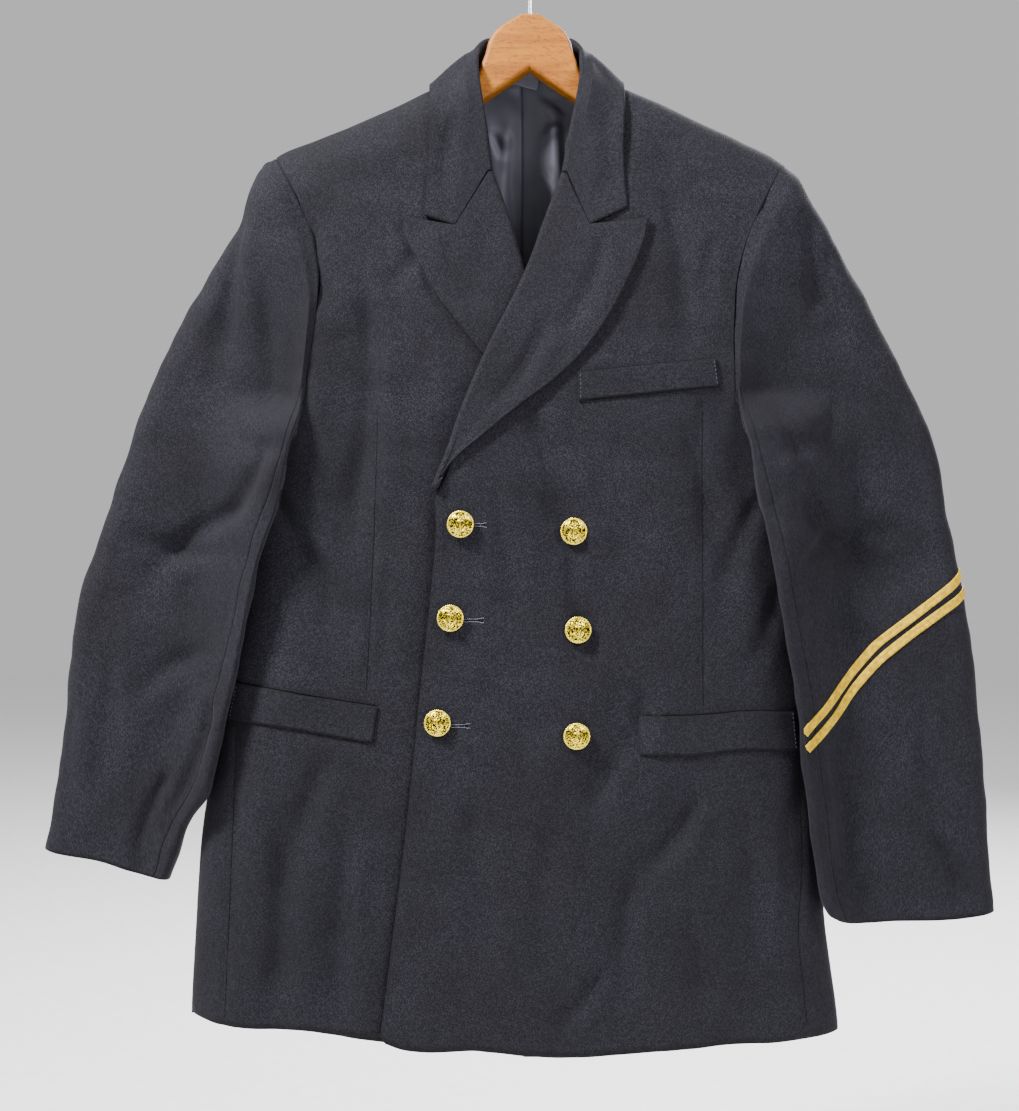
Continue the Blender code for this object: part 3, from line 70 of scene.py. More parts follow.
# The body's outline seen from the front: half widths of the wearer's left and right sides.
SIDE_LINE = metres((
    # z, left, right
    (-960, 265, 288), (-900, 259, 285.5), (-834, 250.1, 282), (-760, 244, 277), (-680, 239, 266),
    (-560, 235, 250), (-432, 244, 244), (-340, 262, 262), (-100, 262, 262),
))

# The ridge of the shoulders, from the neck outwards.
SHOULDER_LINE = metres((
    # x from the middle, left z, right z
    (0, -74, -74), (26, -85, -85), (46, -103, -103), (62, -119.5, -119.5), (84, -128.8, -128.6),
    (115, -142, -143.6), (147, -157.3, -157.6), (180, -172.6, -170.7), (213, -190.5, -185.5),
    (262, -245, -240),
))

# How far the cloth stands in front of and behind the middle plane.
DEPTH = metres((
    # z, front, back
    (-960, 28.5, 15), (-800, 36, 20), (-650, 39.5, 24), (-500, 42, 28), (-400, 43, 31), (-300, 40, 33),
    (-200, 36, 34), (-100, 34, 34),
))

# Front edges, from the hem to the break of the lapel: the upper front's and the lower one's.
FRONT_EDGE = metres({
    LEFT: (
        (-123, -916), (-117.7, -874.6), (-106.6, -786.8), (-97.9, -711.9), (-89.7, -630.3), (-81.5, -556.9),
        (-76.5, -500), (-75.7, -461),
    ),
    RIGHT: ((113, -922), (106, -820), (92, -710), (80, -600), (72, -500), (70.5, -461)),
})

# How far the upper front is held off by the layers beneath it.
OVERLAP_LIFT = metres((
    # z, lift
    (-960, 3.6), (-540, 4.2), (-460, 8.8), (-270, 8.8), (-190, 0.4), (-100, 0),
))
OVERLAP_END, OVERLAP_FADE = 0.1, 0.085  # where it begins to lie down again, and over what width
HIDDEN_DROP = 0.0055  # how far the lower front is pressed back where it is covered
HIDDEN_TOP, HIDDEN_TOP_FADE = -0.5, 0.04
HIDDEN_EDGE, HIDDEN_EDGE_FADE = 0.016, 0.036  # how far beside the upper front's edge that begins

# Soft folds of the fronts and back.
FOLDS = metres({
    "front": (
        (-146, -345, -142, -500, 22, 5), (-190, -512, -166, -575, 20, 4), (-205, -740, -212, -905, 20, 3.5),
        (-156, -760, -160, -900, 16, 2.5), (28, -490, 66, -590, 26, 4), (90, -640, 55, -715, 20, 3.5),
        (128, -720, 88, -785, 24, 3.2), (78, -815, 74, -900, 22, 2.8), (115, -240, 130, -340, 22, 4),
    ),
    "back": (
        (105, -300, 60, -520, 30, 4.5), (-105, -300, -62, -500, 30, 4.5), (120, -600, 150, -860, 30, 3),
        (-130, -620, -165, -880, 30, 3),
    ),
})

CURVE_STEPS = 16  # straight pieces between two points of a curve


def cubic(t, step, start, end, slope, end_slope):
    """Between two values over a step, leaving each at its own slope."""
    return ((1 + 2 * t) * (1 - t) ** 2 * start + t * (1 - t) ** 2 * step * slope
            + t * t * (3 - 2 * t) * end + t * t * (t - 1) * step * end_slope)


def through(rows, column=1):
    """A smooth curve through a table's first column and one other."""
    table = np.array(sorted(rows), float)
    place, value = table[:, 0], table[:, column]
    slope = np.gradient(value, place)

    def at(q):
        q = np.clip(q, place[0], place[-1])
        i = np.clip(np.searchsorted(place, q) - 1, 0, len(place) - 2)
        step = place[i + 1] - place[i]
        return cubic((q - place[i]) / step, step, value[i], value[i + 1], slope[i], slope[i + 1])

    return at


def lengths(points):
    """How far along their line each of some points lies."""
    return np.r_[0, np.cumsum(np.linalg.norm(np.diff(points, axis=0), axis=1))]


def curve(rows):
    """A smooth curve through points, read by its share of the length from 0 to 1."""
    points = np.array(rows, float)
    reached = lengths(points)
    slopes = np.array([np.gradient(column, reached) for column in points.T]).T
    steps = np.linspace(0, 1, CURVE_STEPS, endpoint=False)[:, None]
    pieces = [cubic(steps, reached[i + 1] - reached[i], points[i], points[i + 1], slopes[i], slopes[i + 1])
              for i in range(len(points) - 1)]
    path = np.vstack(pieces + [points[-1:]])
    share = lengths(path) / lengths(path)[-1]

    def at(t):
        return np.stack([np.interp(np.clip(t, 0, 1), share, column) for column in path.T], axis=-1)

    return at


def joined(first, second, share):
    """Two curves read as one, the first up to its share."""
    def at(t):
        t = np.asarray(t, float)
        before = first(np.clip(t / share, 0, 1))
        after = second(np.clip((t - share) / (1 - share), 0, 1))
        return np.where((t < share)[..., None], before, after)

    return at


def line(start, end):
    start, end = np.array(start, float), np.array(end, float)
    return lambda t: start + (end - start) * np.asarray(t, float)[..., None]


def share_of(rows, index):
    """The share of a curve's length at which one of its points comes."""
    reached = lengths(np.array(rows, float))
    return float(reached[index] / reached[-1])


def smooth(t):
    t = np.clip(t, 0, 1)
    return t * t * (3 - 2 * t)


def stacked(*parts):
    """Points from their separate numbers."""
    return np.stack(parts, axis=-1)


def unit(vector):
    return vector / np.maximum(np.linalg.norm(vector, axis=-1, keepdims=True), 1e-12)


def beside(points, side):
    """Unit ways square to a flat line, to one side of it."""
    run = unit(np.gradient(points, axis=0))
    return stacked(run[:, 1], -run[:, 0]) * side


side_left, side_right = through(SIDE_LINE, 1), through(SIDE_LINE, 2)
ridge_left, ridge_right = through(SHOULDER_LINE, 1), through(SHOULDER_LINE, 2)
depth_front, depth_back = through(DEPTH, 1), through(DEPTH, 2)
overlap = through(OVERLAP_LIFT)
edge_left = through([(z, x) for x, z in FRONT_EDGE[LEFT]])


def side_x(z, side):
    return side_left(z) if side == LEFT else side_right(z)


def ridge(x):
    return np.where(np.asarray(x) > 0, ridge_left(np.abs(x)), ridge_right(np.abs(x)))


def rounding(distance, radius):
    """Quarter-round that rises from 0 at an edge to 1 at the radius."""
    t = np.clip(1 - distance / radius, 0, 1)
    return np.sqrt(1 - t * t)


def from_line(x, z, x0, z0, x1, z1):
    """Distance of places from the straight line between two points."""
    run_x, run_z = x1 - x0, z1 - z0
    share = np.clip(((x - x0) * run_x + (z - z0) * run_z) / (run_x * run_x + run_z * run_z), 0, 1)
    return np.hypot(x - x0 - share * run_x, z - z0 - share * run_z)


def soft_folds(table, x, z):
    """Depth of all the soft folds of a table at a place."""
    total = np.zeros(np.broadcast(x, z).shape)
    for x0, z0, x1, z1, width, depth in table:
        total = total + depth * np.exp(-(from_line(x, z, x0, z0, x1, z1) / width) ** 2)
    return total


def body_round(x, z):
    edge = np.where(x > 0, side_left(z), side_right(z))
    return rounding(edge - np.abs(x), SIDE_RADIUS) * rounding(ridge(x) - z, SHOULDER_RADIUS)


def lift_over(x, z):
    """How far the upper front stands off the lower one."""
    return overlap(z) * (1 - smooth((x - OVERLAP_END) / OVERLAP_FADE))


def hidden(x, z):
    """How far a place of the lower front lies behind the upper one, from 0 to 1."""
    below = 1 - smooth((z - HIDDEN_TOP) / HIDDEN_TOP_FADE)
    return smooth((x - edge_left(z) + HIDDEN_EDGE) / HIDDEN_EDGE_FADE) * below


def front_y(x, z, side):
    """Outer face of a front, its folds and the room between the two fronts worked in."""
    full = body_round(x, z)
    bare = -depth_front(z) * full
    fold = soft_folds(FOLDS["front"], x, z)
    if side == LEFT:
        return bare + (fold - lift_over(x, z)) * full
    tucked = hidden(x, z)
    return bare + (fold * (1 - tucked) + HIDDEN_DROP * tucked) * full


def back_y(x, z):
    return (depth_back(z) - soft_folds(FOLDS["back"], x, z)) * body_round(x, z)


def coons(bottom, top, inner, outer, u, v):
    """Patch between four curves: u runs inner to outer, v bottom to top."""
    uu, vv = np.meshgrid(u, v)
    uw, vw = uu[..., None], vv[..., None]
    ruled = (1 - vw) * bottom(uu) + vw * top(uu) + (1 - uw) * inner(vv) + uw * outer(vv)
    corners = ((1 - uw) * (1 - vw) * bottom(0.0) + uw * (1 - vw) * bottom(1.0)
               + (1 - uw) * vw * top(0.0) + uw * vw * top(1.0))
    return ruled - corners


def normals(grid):
    return unit(np.cross(np.gradient(grid, axis=1), np.gradient(grid, axis=0)))


def outward(grid, hint):
    """The grid's normals, turned to the side that a hint direction points to."""
    normal = normals(grid)
    if np.sum(normal * hint) < 0:
        normal = -normal
    return normal


def right_way(grid, normal):
    """The order of a grid's columns in which its faces point the way of the normals."""
    return np.s_[:, :] if np.sum(normals(grid) * normal) > 0 else np.s_[:, ::-1]


def fine(steps, count):
    """The steps with count - 1 more between each two."""
    places = np.arange(len(steps))
    return np.interp(np.linspace(0, len(steps) - 1, (len(steps) - 1) * count + 1), places, steps)


def smoothed(grid, times):
    """Evens out small steps left by reading one grid through another."""
    for _ in range(times):
        inner = (grid[:-2] + grid[2:] + 2 * grid[1:-1]) / 4
        grid = np.concatenate([grid[:1], inner, grid[-1:]])
        inner = (grid[:, :-2] + grid[:, 2:] + 2 * grid[:, 1:-1]) / 4
        grid = np.concatenate([grid[:, :1], inner, grid[:, -1:]], axis=1)
    return grid


def between(grid, row, column):
    """Points of a grid read between its rows and columns, its columns going round."""
    r0 = np.clip(np.floor(row).astype(int), 0, grid.shape[0] - 2)
    c0 = np.floor(column).astype(int)
    u, v = (column - c0)[..., None], (row - r0)[..., None]
    c0, c1 = c0 % grid.shape[1], (c0 + 1) % grid.shape[1]
    low = grid[r0, c0] * (1 - u) + grid[r0, c1] * u
    high = grid[r0 + 1, c0] * (1 - u) + grid[r0 + 1, c1] * u
    return low * (1 - v) + high * v


FIND_SPOTS = 261  # spots each way that a place is first compared with
FIND_STEP = 0.2  # part of a row or column over which the slope is read
FIND_ROUNDS = 4


def finder(grid, last_column):
    """Gives the rows and columns of a grid at which places are seen from the front."""
    rows, columns = np.meshgrid(np.linspace(0, len(grid) - 1, FIND_SPOTS),
                                np.linspace(0, last_column, FIND_SPOTS), indexing="ij")
    seen = between(grid, rows, columns)[..., (X, Z)]
    tries = np.array(((0, 0), (FIND_STEP, 0), (0, FIND_STEP)))

    def nearer(spot, place):
        here, up, over = between(grid, *(spot + tries).T)[:, (X, Z)]
        slope = stacked(up - here, over - here) / FIND_STEP
        if abs(np.linalg.det(slope)) < 1e-9:
            return spot
        move = np.clip(np.linalg.solve(slope, place - here), -1.0, 1.0)
        return np.clip(spot + move, 0, (len(grid) - 1, last_column))

    def at(places):
        found = []
        for place in np.asarray(places, float).reshape(-1, 2):
            nearest = np.argmin(((seen - place) ** 2).sum(axis=-1))
            spot = np.array((rows.flat[nearest], columns.flat[nearest]))
            for _ in range(FIND_ROUNDS):
                spot = nearer(spot, place)
            found.append(spot)
        return np.array(found)

    return at


def points_on(grid):
    """Gives the points of a panel's detailed surface at places seen from the front."""
    find = finder(grid, grid.shape[1] - 1)
    return lambda places: between(grid, *find(places).T)


def linear(hex_colour):
    """Turns an sRGB hex value into the linear colour that a shader takes."""
    parts = [int(hex_colour[i:i + 2], 16) / 255 for i in (1, 3, 5)]
    return tuple(p / 12.92 if p <= 0.04045 else ((p + 0.055) / 1.055) ** 2.4 for p in parts) + (1.0,)


def fill_in(made, inputs):
    """Sets a node's inputs; each is a value, another node's output, or a node for its first output."""
    for key, value in inputs.items():
        if isinstance(value, bpy.types.Node):
            value = value.outputs[0]
        if isinstance(value, bpy.types.NodeSocket):
            made.id_data.links.new(value, made.inputs[key])
        else:
            made.inputs[key].default_value = value


def node(tree, kind, settings=None, inputs=None, stops=()):
    """Adds a node with its settings and inputs, and with its places and colours where it is a ramp."""
    made = tree.nodes.new("ShaderNode" + kind)
    for key, value in (settings or {}).items():
        setattr(made, key, value)
    while stops and len(made.color_ramp.elements) < len(stops):
        made.color_ramp.elements.new(0.5)
    for number, (place, colour) in enumerate(stops):
        made.color_ramp.elements[number].position = place
        made.color_ramp.elements[number].color = linear(colour)
    fill_in(made, inputs or {})
    return made


def new_material(name):
    """A material with its shader joined to its output."""
    made = bpy.data.materials.new(name)
    made.use_nodes = True
    tree = made.node_tree
    tree.nodes.clear()
    shader = node(tree, "BsdfPrincipled")
    node(tree, "OutputMaterial", inputs={"Surface": shader})
    return made, tree, shader


def mottled(tree, size, stops, detail=2.0):
    """Soft patches of a real size, as a number and as the colours that they give."""
    place = node(tree, "TexCoord").outputs["Object"]
    patches = node(tree, "TexNoise", inputs={"Vector": place, "Scale": 1 / size, "Detail": detail})
    return patches, node(tree, "ValToRGB", inputs={"Fac": patches}, stops=stops)


def floats_of_yarn(tree, long, wide, angle):
    """Places on the piece's own UV map, which is in metres, counted in floats of a slanting weave."""
    uv = node(tree, "UVMap", {"uv_map": "weave"})
    return node(tree, "Mapping", {"vector_type": "TEXTURE"},
                {"Vector": uv, "Rotation": (0, 0, math.radians(angle)), "Scale": (long, wide, 1.0)})


def yarn_relief(tree, floats, strength, height):
    """The low relief of the floats of yarn, as a normal."""
    yarns = node(tree, "TexNoise", inputs={"Vector": floats, "Scale": 1.0, "Detail": 1.0})
    return node(tree, "Bump", inputs={"Height": yarns, "Strength": strength, "Distance": height})


WOOL_TONES = ((0.25, "#1C1B21"), (0.75, "#28272E"))
FIBRE_TONES = ((0.1, "#7A7A82"), (0.55, "#A4A4A8"), (0.95, "#F0F0F4"))
# near-black painted shade, mixed into the wool along the edges that the shells mark
WOOL_EDGE_SHADE = "#040405"
WOOL_SHEEN = "#A8A8B4"
FIBRE_LONG, FIBRE_WIDE = 0.0009, 0.0007  # serge's yarns are 0.5 mm; drawn coarser so that they show
TWILL_ANGLE = 58
NAP = 0.075  # slow changes in the nap's lie


def wool_serge():
    """Wool serge: navy-black yarns woven in a fine twill, so that pale and dark fibres speckle it."""
    made, tree, shader = new_material("Navy wool serge twill")
    nap, dyed = mottled(tree, NAP, WOOL_TONES)
    floats = floats_of_yarn(tree, FIBRE_LONG, FIBRE_WIDE, TWILL_ANGLE)
    # Each float has a tone of its own, because fibres of several greys are spun together.
    cell = node(tree, "VectorMath", {"operation": "FLOOR"}, {0: floats})
    tone = node(tree, "TexWhiteNoise", {"noise_dimensions": "2D"}, {"Vector": cell})
    fibres = node(tree, "ValToRGB", inputs={"Fac": tone}, stops=FIBRE_TONES)
    woven = node(tree, "Mix", {"data_type": "RGBA", "blend_type": "MULTIPLY"},
                 {"Factor": 1.0, "A": dyed, "B": fibres}).outputs["Result"]
    # Along a cut or folded edge the colour is mixed towards near-black: painted shade standing in for the
    # cloth's own shadow.
    edge = node(tree, "Attribute", {"attribute_name": "edge"}).outputs["Fac"]
    shaded = node(tree, "Mix", {"data_type": "RGBA"},
                  {"Factor": edge, "A": woven, "B": linear(WOOL_EDGE_SHADE)}).outputs["Result"]
    rough = node(tree, "MapRange", inputs={"Value": nap, "To Min": 0.82, "To Max": 0.95})
    fill_in(shader, {"Base Color": shaded, "Roughness": rough,
                     "Normal": yarn_relief(tree, floats, 0.35, 0.0006), "Specular IOR Level": 0.16,
                     "Sheen Weight": 0.05, "Sheen Roughness": 0.4, "Sheen Tint": linear(WOOL_SHEEN)})
    return made


SATIN_SHOT = 0.0556  # patches in which the satin's tone changes
SATIN_LONG, SATIN_WIDE = 0.01, 0.0008  # its filaments are 0.1 mm wide; drawn coarser so that they show


def satin_weave(name, low, high):
    """Satin: smooth lengthwise floats of filament yarn, so that it has a soft gloss."""
    made, tree, shader = new_material(name)
    tone = mottled(tree, SATIN_SHOT, ((0.3, low), (0.7, high)))[1]
    floats = floats_of_yarn(tree, SATIN_LONG, SATIN_WIDE, 90)
    fill_in(shader, {"Base Color": tone, "Roughness": 0.58, "Specular IOR Level": 0.32,
                     "Normal": yarn_relief(tree, floats, 0.1, 0.0003),
                     "Sheen Weight": 0.1, "Sheen Roughness": 0.3})
    return made


LACE_RIB = 0.00075  # spacing of the lace's ribs
LACE_DULL = 0.00385  # patches that have dulled
LACE_TONES = ((0.25, "#9A7A0E"), (0.55, "#C8A218"), (0.8, "#E0C234"))


def gold_lace():
    """Gold lace: metal-wrapped yarn woven in a ribbed band, slightly dulled."""
    made, tree, shader = new_material("Gold lace braid")
    uv = node(tree, "UVMap", {"uv_map": "weave"})
    # A wave texture draws 20 radians to a unit of its scale.
    ribs = node(tree, "TexWave", {"bands_direction": "X", "wave_profile": "TRI"},
                {"Vector": uv, "Scale": math.tau / 20 / LACE_RIB, "Distortion": 0.6})
    tone = mottled(tree, LACE_DULL, LACE_TONES, detail=3.0)[1]
    bump = node(tree, "Bump", inputs={"Height": ribs.outputs["Fac"], "Strength": 0.5, "Distance": 0.0005})
    fill_in(shader, {"Base Color": tone, "Roughness": 0.5, "Metallic": 0.35, "Specular IOR Level": 0.25,
                     "Normal": bump})
    return made


# Colours of the gilt, the size of its patches and how deep they go.
GILT_RAISED = ((0.3, "#D0AE24"), (0.55, "#F0DA44"), (0.8, "#FFF286")), 0.00143, 0.15
GILT_GROUND = ((0.45, "#120D02"), (0.51, "#98801C"), (0.58, "#ECD444")), 0.00125, 0.5


def gilt_brass(name, tones, grain, depth):
    """Gilt stamped brass: thin gold over brass, bright where it is rubbed and dark in its hollows."""
    made, tree, shader = new_material(name)
    spots, tone = mottled(tree, grain, tones, detail=3.0)
    rough = node(tree, "MapRange", inputs={"Value": spots, "To Min": 0.22, "To Max": 0.38})
    bump = node(tree, "Bump", inputs={"Height": spots, "Strength": depth, "Distance": 0.0005})
    fill_in(shader, {"Base Color": tone, "Roughness": rough, "Metallic": 1.0, "Normal": bump})
    return made


BEECH_TONES = ((0.25, "#7A4206"), (0.5, "#965A0C"), (0.75, "#A66A14"))
FLECK_TONES = ((0.34, "#C09A78"), (0.42, "#FFFFFF"))
GRAIN_LONG, GRAIN_WIDE = 0.0714, 0.00625
FLECK_LONG, FLECK_WIDE = 0.00385, 0.00111


def varnished_beech():
    """Beech under clear varnish: straight grain along the arms, short dark flecks, a soft gloss."""
    made, tree, shader = new_material("Varnished beech")
    place = node(tree, "TexCoord").outputs["Object"]
    along = node(tree, "Mapping",
                 inputs={"Vector": place, "Scale": (1 / GRAIN_LONG, 1 / GRAIN_WIDE, 1 / GRAIN_WIDE)})
    grain = node(tree, "TexNoise", inputs={"Vector": along, "Scale": 1.0, "Detail": 4.0, "Distortion": 0.4})
    tone = node(tree, "ValToRGB", inputs={"Fac": grain}, stops=BEECH_TONES)
    short = node(tree, "Mapping",
                 inputs={"Vector": place, "Scale": (1 / FLECK_LONG, 1 / FLECK_WIDE, 1 / FLECK_WIDE)})
    flecks = node(tree, "TexNoise", inputs={"Vector": short, "Scale": 1.0, "Detail": 1.0})
    fleck_tone = node(tree, "ValToRGB", inputs={"Fac": flecks}, stops=FLECK_TONES)
    mixed = node(tree, "Mix", {"data_type": "RGBA", "blend_type": "MULTIPLY"},
                 {"Factor": 0.6, "A": tone, "B": fleck_tone})
    bump = node(tree, "Bump", inputs={"Height": grain, "Strength": 0.08, "Distance": 0.0004})
    fill_in(shader, {"Base Color": mixed.outputs["Result"], "Roughness": 0.6, "Specular IOR Level": 0.3,
                     "Normal": bump, "Coat Weight": 0.06, "Coat Roughness": 0.25})
    return made


DRAWN_LINES = 0.00167  # the drawing die's lines on the wire; finer ones wouldn't show


def plated_steel():
    """Plated steel wire: drawn, so fine lines run along it, with a soft bright finish."""
    made, tree, shader = new_material("Plated steel wire")
    lines, tone = mottled(tree, DRAWN_LINES, ((0.3, "#A9ABAD"), (0.7, "#C9CBCD")))
    rough = node(tree, "MapRange", inputs={"Value": lines, "To Min": 0.2, "To Max": 0.36})
    fill_in(shader, {"Base Color": tone, "Roughness": rough, "Metallic": 1.0})
    return made


THREAD_PLY = 0.000625  # a ply is 0.2 mm; drawn coarser so that it shows


def sewing_thread(name, low, high):
    """Spun thread: two plies twisted together, matt."""
    made, tree, shader = new_material(name)
    tone = mottled(tree, THREAD_PLY, ((0.3, low), (0.7, high)))[1]
    fill_in(shader, {"Base Color": tone, "Roughness": 0.85, "Specular IOR Level": 0.1})
    return made


PAPER_FIBRE = 0.025  # clouds in the paper; its fibres are too fine to show


def matt_paper():
    """Heavy white paper: matt, so that the light on it is even."""
    made, tree, shader = new_material("Matt white paper")
    tone = mottled(tree, PAPER_FIBRE, ((0.3, "#F1F1F1"), (0.7, "#F7F7F7")))[1]
    fill_in(shader, {"Base Color": tone, "Roughness": 0.9})
    return made


def reach(grid, axis):
    """Lengths along the cloth from its first row or column, in metres."""
    step = np.linalg.norm(np.diff(grid, axis=axis), axis=-1)
    start = np.zeros_like(np.take(step, [0], axis=axis))
    return np.cumsum(np.concatenate([start, step], axis=axis), axis=axis)


def from_ends(grid):
    """Lengths from each end as far as the middle row, so that the weave lies true at both ends."""
    start = reach(grid, 0)
    first_half = np.arange(len(grid))[:, None] < len(grid) // 2
    return np.where(first_half, start, start - start[-1:])


RIM_ROUND = 0.25  # how far a rim's middle stands out, in walls
RIM_SHADE = 0.55  # how much of an edge's painted shade reaches the face beside it
SEAM_SHADE = 0.35  # the same along an edge that is sewn to its neighbour


def rim_of(rows, columns):
    """The places round a grid's rim, in order."""
    rim = [(0, c) for c in range(columns)] + [(r, columns - 1) for r in range(1, rows)]
    rim += [(rows - 1, c) for c in range(columns - 2, -1, -1)]
    return rim + [(r, 0) for r in range(rows - 2, 0, -1)]


def closed_wall(name, outer, inner, rim):
    """A closed mesh between two grids, with a row of points further out round its rim."""
    rows, columns = outer.shape[:2]
    count = rows * columns
    within = [(min(max(r, 1), rows - 2), min(max(c, 1), columns - 2)) for r, c in rim]
    edge_out = unit(np.array([outer[a] - outer[b] for a, b in zip(rim, within)]))
    thick = np.linalg.norm(outer[0, 0] - inner[0, 0])
    middle = np.array([(outer[a] + inner[a]) / 2 for a in rim]) + edge_out * thick * RIM_ROUND
    points = np.vstack([outer.reshape(-1, 3), inner.reshape(-1, 3), middle])
    index = np.arange(count).reshape(rows, columns)
    quads = stacked(index[:-1, :-1], index[:-1, 1:], index[1:, 1:], index[1:, :-1]).reshape(-1, 4)
    ring = np.array([index[a] for a in rim])
    after = np.roll(ring, -1)
    mid = np.arange(len(rim)) + 2 * count
    mid_after = np.roll(mid, -1)
    faces = np.vstack([quads, quads[:, ::-1] + count, stacked(after, ring, mid, mid_after),
                       stacked(mid_after, mid, ring + count, after + count)])
    mesh = bpy.data.meshes.new(name)
    mesh.from_pydata(points.tolist(), [], faces.tolist())
    return mesh, ring


def lay_weave(mesh, outer, ring, true_ends):
    """A UV map in metres along the cloth, counted across from its middle column."""
    middle = outer.shape[1] // 2
    across = reach(outer, 1)
    along = from_ends(outer) if true_ends else reach(outer, 0)
    flat = stacked(across - across[:, middle:middle + 1], along).reshape(-1, 2)
    flat = np.vstack([flat, flat, flat[ring]])
    weave = mesh.uv_layers.new(name="weave")
    corner = np.empty(len(mesh.loops), dtype=np.int32)
    mesh.loops.foreach_get("vertex_index", corner)
    weave.data.foreach_set("uv", flat[corner].ravel())


def shell(name, outer, inner, finish, sewn_sides=False, true_ends=False):
    """A closed cloth wall with a rounded rim, a UV map in metres and its rim marked for painted edge shade.
    """
    rows, columns = outer.shape[:2]
    rim = rim_of(rows, columns)
    mesh, ring = closed_wall(name, outer, inner, rim)
    lay_weave(mesh, outer, ring, true_ends)
    # An edge that is sewn to its neighbour lies closer and gets less painted shade.
    depth = np.array([SEAM_SHADE if sewn_sides and c in (0, columns - 1) else 1.0 for _, c in rim])
    shade = np.zeros(rows * columns)
    shade[ring] = RIM_SHADE * depth
    # The edge attribute holds how much painted shade the wool mixes in at each point.
    marked = mesh.attributes.new("edge", "FLOAT", "POINT")
    marked.data.foreach_set("value", np.concatenate([shade, shade, depth]))
    mesh.shade_smooth()
    return dressed(name + "_cloth", mesh, finish, name)


def dressed(name, mesh, finish, replaced=None):
    """Puts a finished mesh in the scene as a piece of the coat; without a finish it keeps its own."""
    if finish:
        mesh.materials.clear()
        mesh.materials.append(finish)
    piece = bpy.data.objects.new(name, mesh)
    bpy.context.scene.collection.objects.link(piece)
    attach(piece, "root")
    if replaced:
        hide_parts(replaced)
    return piece


def cut_size(grid):
    """Width, length and area of the cloth that a grid was cut from, measured along it."""
    width, length = float(reach(grid, 1)[:, -1].max()), float(reach(grid, 0)[-1].max())
    a, b = grid[1:, :-1] - grid[:-1, :-1], grid[:-1, 1:] - grid[:-1, :-1]
    c, d = grid[1:, :-1] - grid[1:, 1:], grid[:-1, 1:] - grid[1:, 1:]
    area = (np.linalg.norm(np.cross(a, b), axis=-1) + np.linalg.norm(np.cross(c, d), axis=-1)).sum() / 2
    return width, length, min(float(area), width * length)


def declare(grid):
    width, length, area = cut_size(grid)


def cloth(name, grid, finish, hint, thickness=WALL,
          square_edges=()):
    """A wall grown inwards from its outer points, square to an axis at the edges named."""
    normal = outward(grid, hint)
    rims = {"inner": np.s_[:, 0], "outer": np.s_[:, -1], "top": np.s_[-1]}
    for edge, axis in square_edges:
        rim = normal[rims[edge]].copy()
        rim[..., axis] = 0
        normal[rims[edge]] = unit(rim)
    inner = grid - normal * thickness
    turn = right_way(grid, normal)
    piece = shell(name, grid[turn], inner[turn], finish)
    declare(grid)


def folded_wall(name, leaf, roll, inner, faces, finish, true_ends=False):
    """A wall from a leaf, the roll that it turns over and the strip inside, column by column."""
    grid = np.concatenate([leaf, roll, inner], axis=1)
    normal = normals(grid)
    first, middle = leaf.shape[1], faces.shape[1] // 2
    if np.sum(normal[:, first + middle] * faces[:, middle]) < 0:
        normal = -normal
    normal[:, first:first + roll.shape[1]] = faces
    inside = grid - normal * WALL
    turn = right_way(grid, normal)
    piece = shell(name, grid[turn], inside[turn], finish, true_ends=true_ends)
    declare(grid)


CREASE_DEPTH = 2.5  # how strongly the tables' creases are pressed in
CREASE_NARROW, CREASE_SPREAD = 0.75, 0.5  # share of its width where a crease starts, and what it gains
CREASE_START, CREASE_END = 0.3, 0.4  # shares of its length over which it begins and dies away
CREASE_OVER = 0.1  # how far it goes on past its two ends
# The swell beside a crease: its place and width in half widths of the crease, and its height.
SWELL_AWAY, SWELL_WIDE, SWELL_HIGH = 1.9, 1.3, 0.45


def creases(table, x, z):
    """Height of the creases in a table: troughs below 0 with a softer swell on one side."""
    total = np.zeros(np.broadcast(x, z).shape)
    for x0, z0, x1, z1, bend, width, depth in table:
        run_x, run_z = x1 - x0, z1 - z0
        length = math.hypot(run_x, run_z)
        along = ((x - x0) * run_x + (z - z0) * run_z) / length ** 2
        t = np.clip(along, 0, 1)
        side = ((z - z0) * run_x - (x - x0) * run_z) / length - bend * length * 4 * t * (1 - t)
        spread = width * (CREASE_NARROW + CREASE_SPREAD * t)
        fade = smooth((along + CREASE_OVER) / CREASE_START) * smooth((1 + CREASE_OVER - along) / CREASE_END)
        trough = np.exp(-(side / spread) ** 2)
        swell = np.exp(-((side - SWELL_AWAY * spread) / (SWELL_WIDE * spread)) ** 2)
        total = total - depth * fade * (trough - SWELL_HIGH * swell)
    return total * CREASE_DEPTH


SEAM_HALF = 0.003  # half width of the hollow along a dart or seam
SEAM_SWELL_AWAY, SEAM_SWELL_HIGH = 2.4, 0.5  # the swell beside it, in half widths and depths


def grooves(table, x, z):
    """Depth of sewn lines: a dart or a seam pulls the cloth in along its stitches."""
    total = np.zeros(np.broadcast(x, z).shape)
    for points, depth in table:
        path = curve(points)(np.linspace(0, 1, 40))
        nearest = np.full(total.shape, 1.0)
        for (x0, z0), (x1, z1) in zip(path[:-1], path[1:]):
            nearest = np.minimum(nearest, from_line(x, z, x0, z0, x1, z1))
        hollow = np.exp(-(nearest / SEAM_HALF) ** 2)
        swell = np.exp(-(nearest / SEAM_HALF - SEAM_SWELL_AWAY) ** 2)
        total = total - depth * (hollow - SEAM_SWELL_HIGH * swell)
    return total


SURFACE_WAVE = (
    # length of the wave, its height, turn
    (0.085, 0.0006, 0.4), (0.052, 0.0004, 2.1), (0.031, 0.00022, 4.0),
)
WAVER, WAVER_RATE = 1.7, 0.6  # how much the waves' crests waver, and how often beside their length


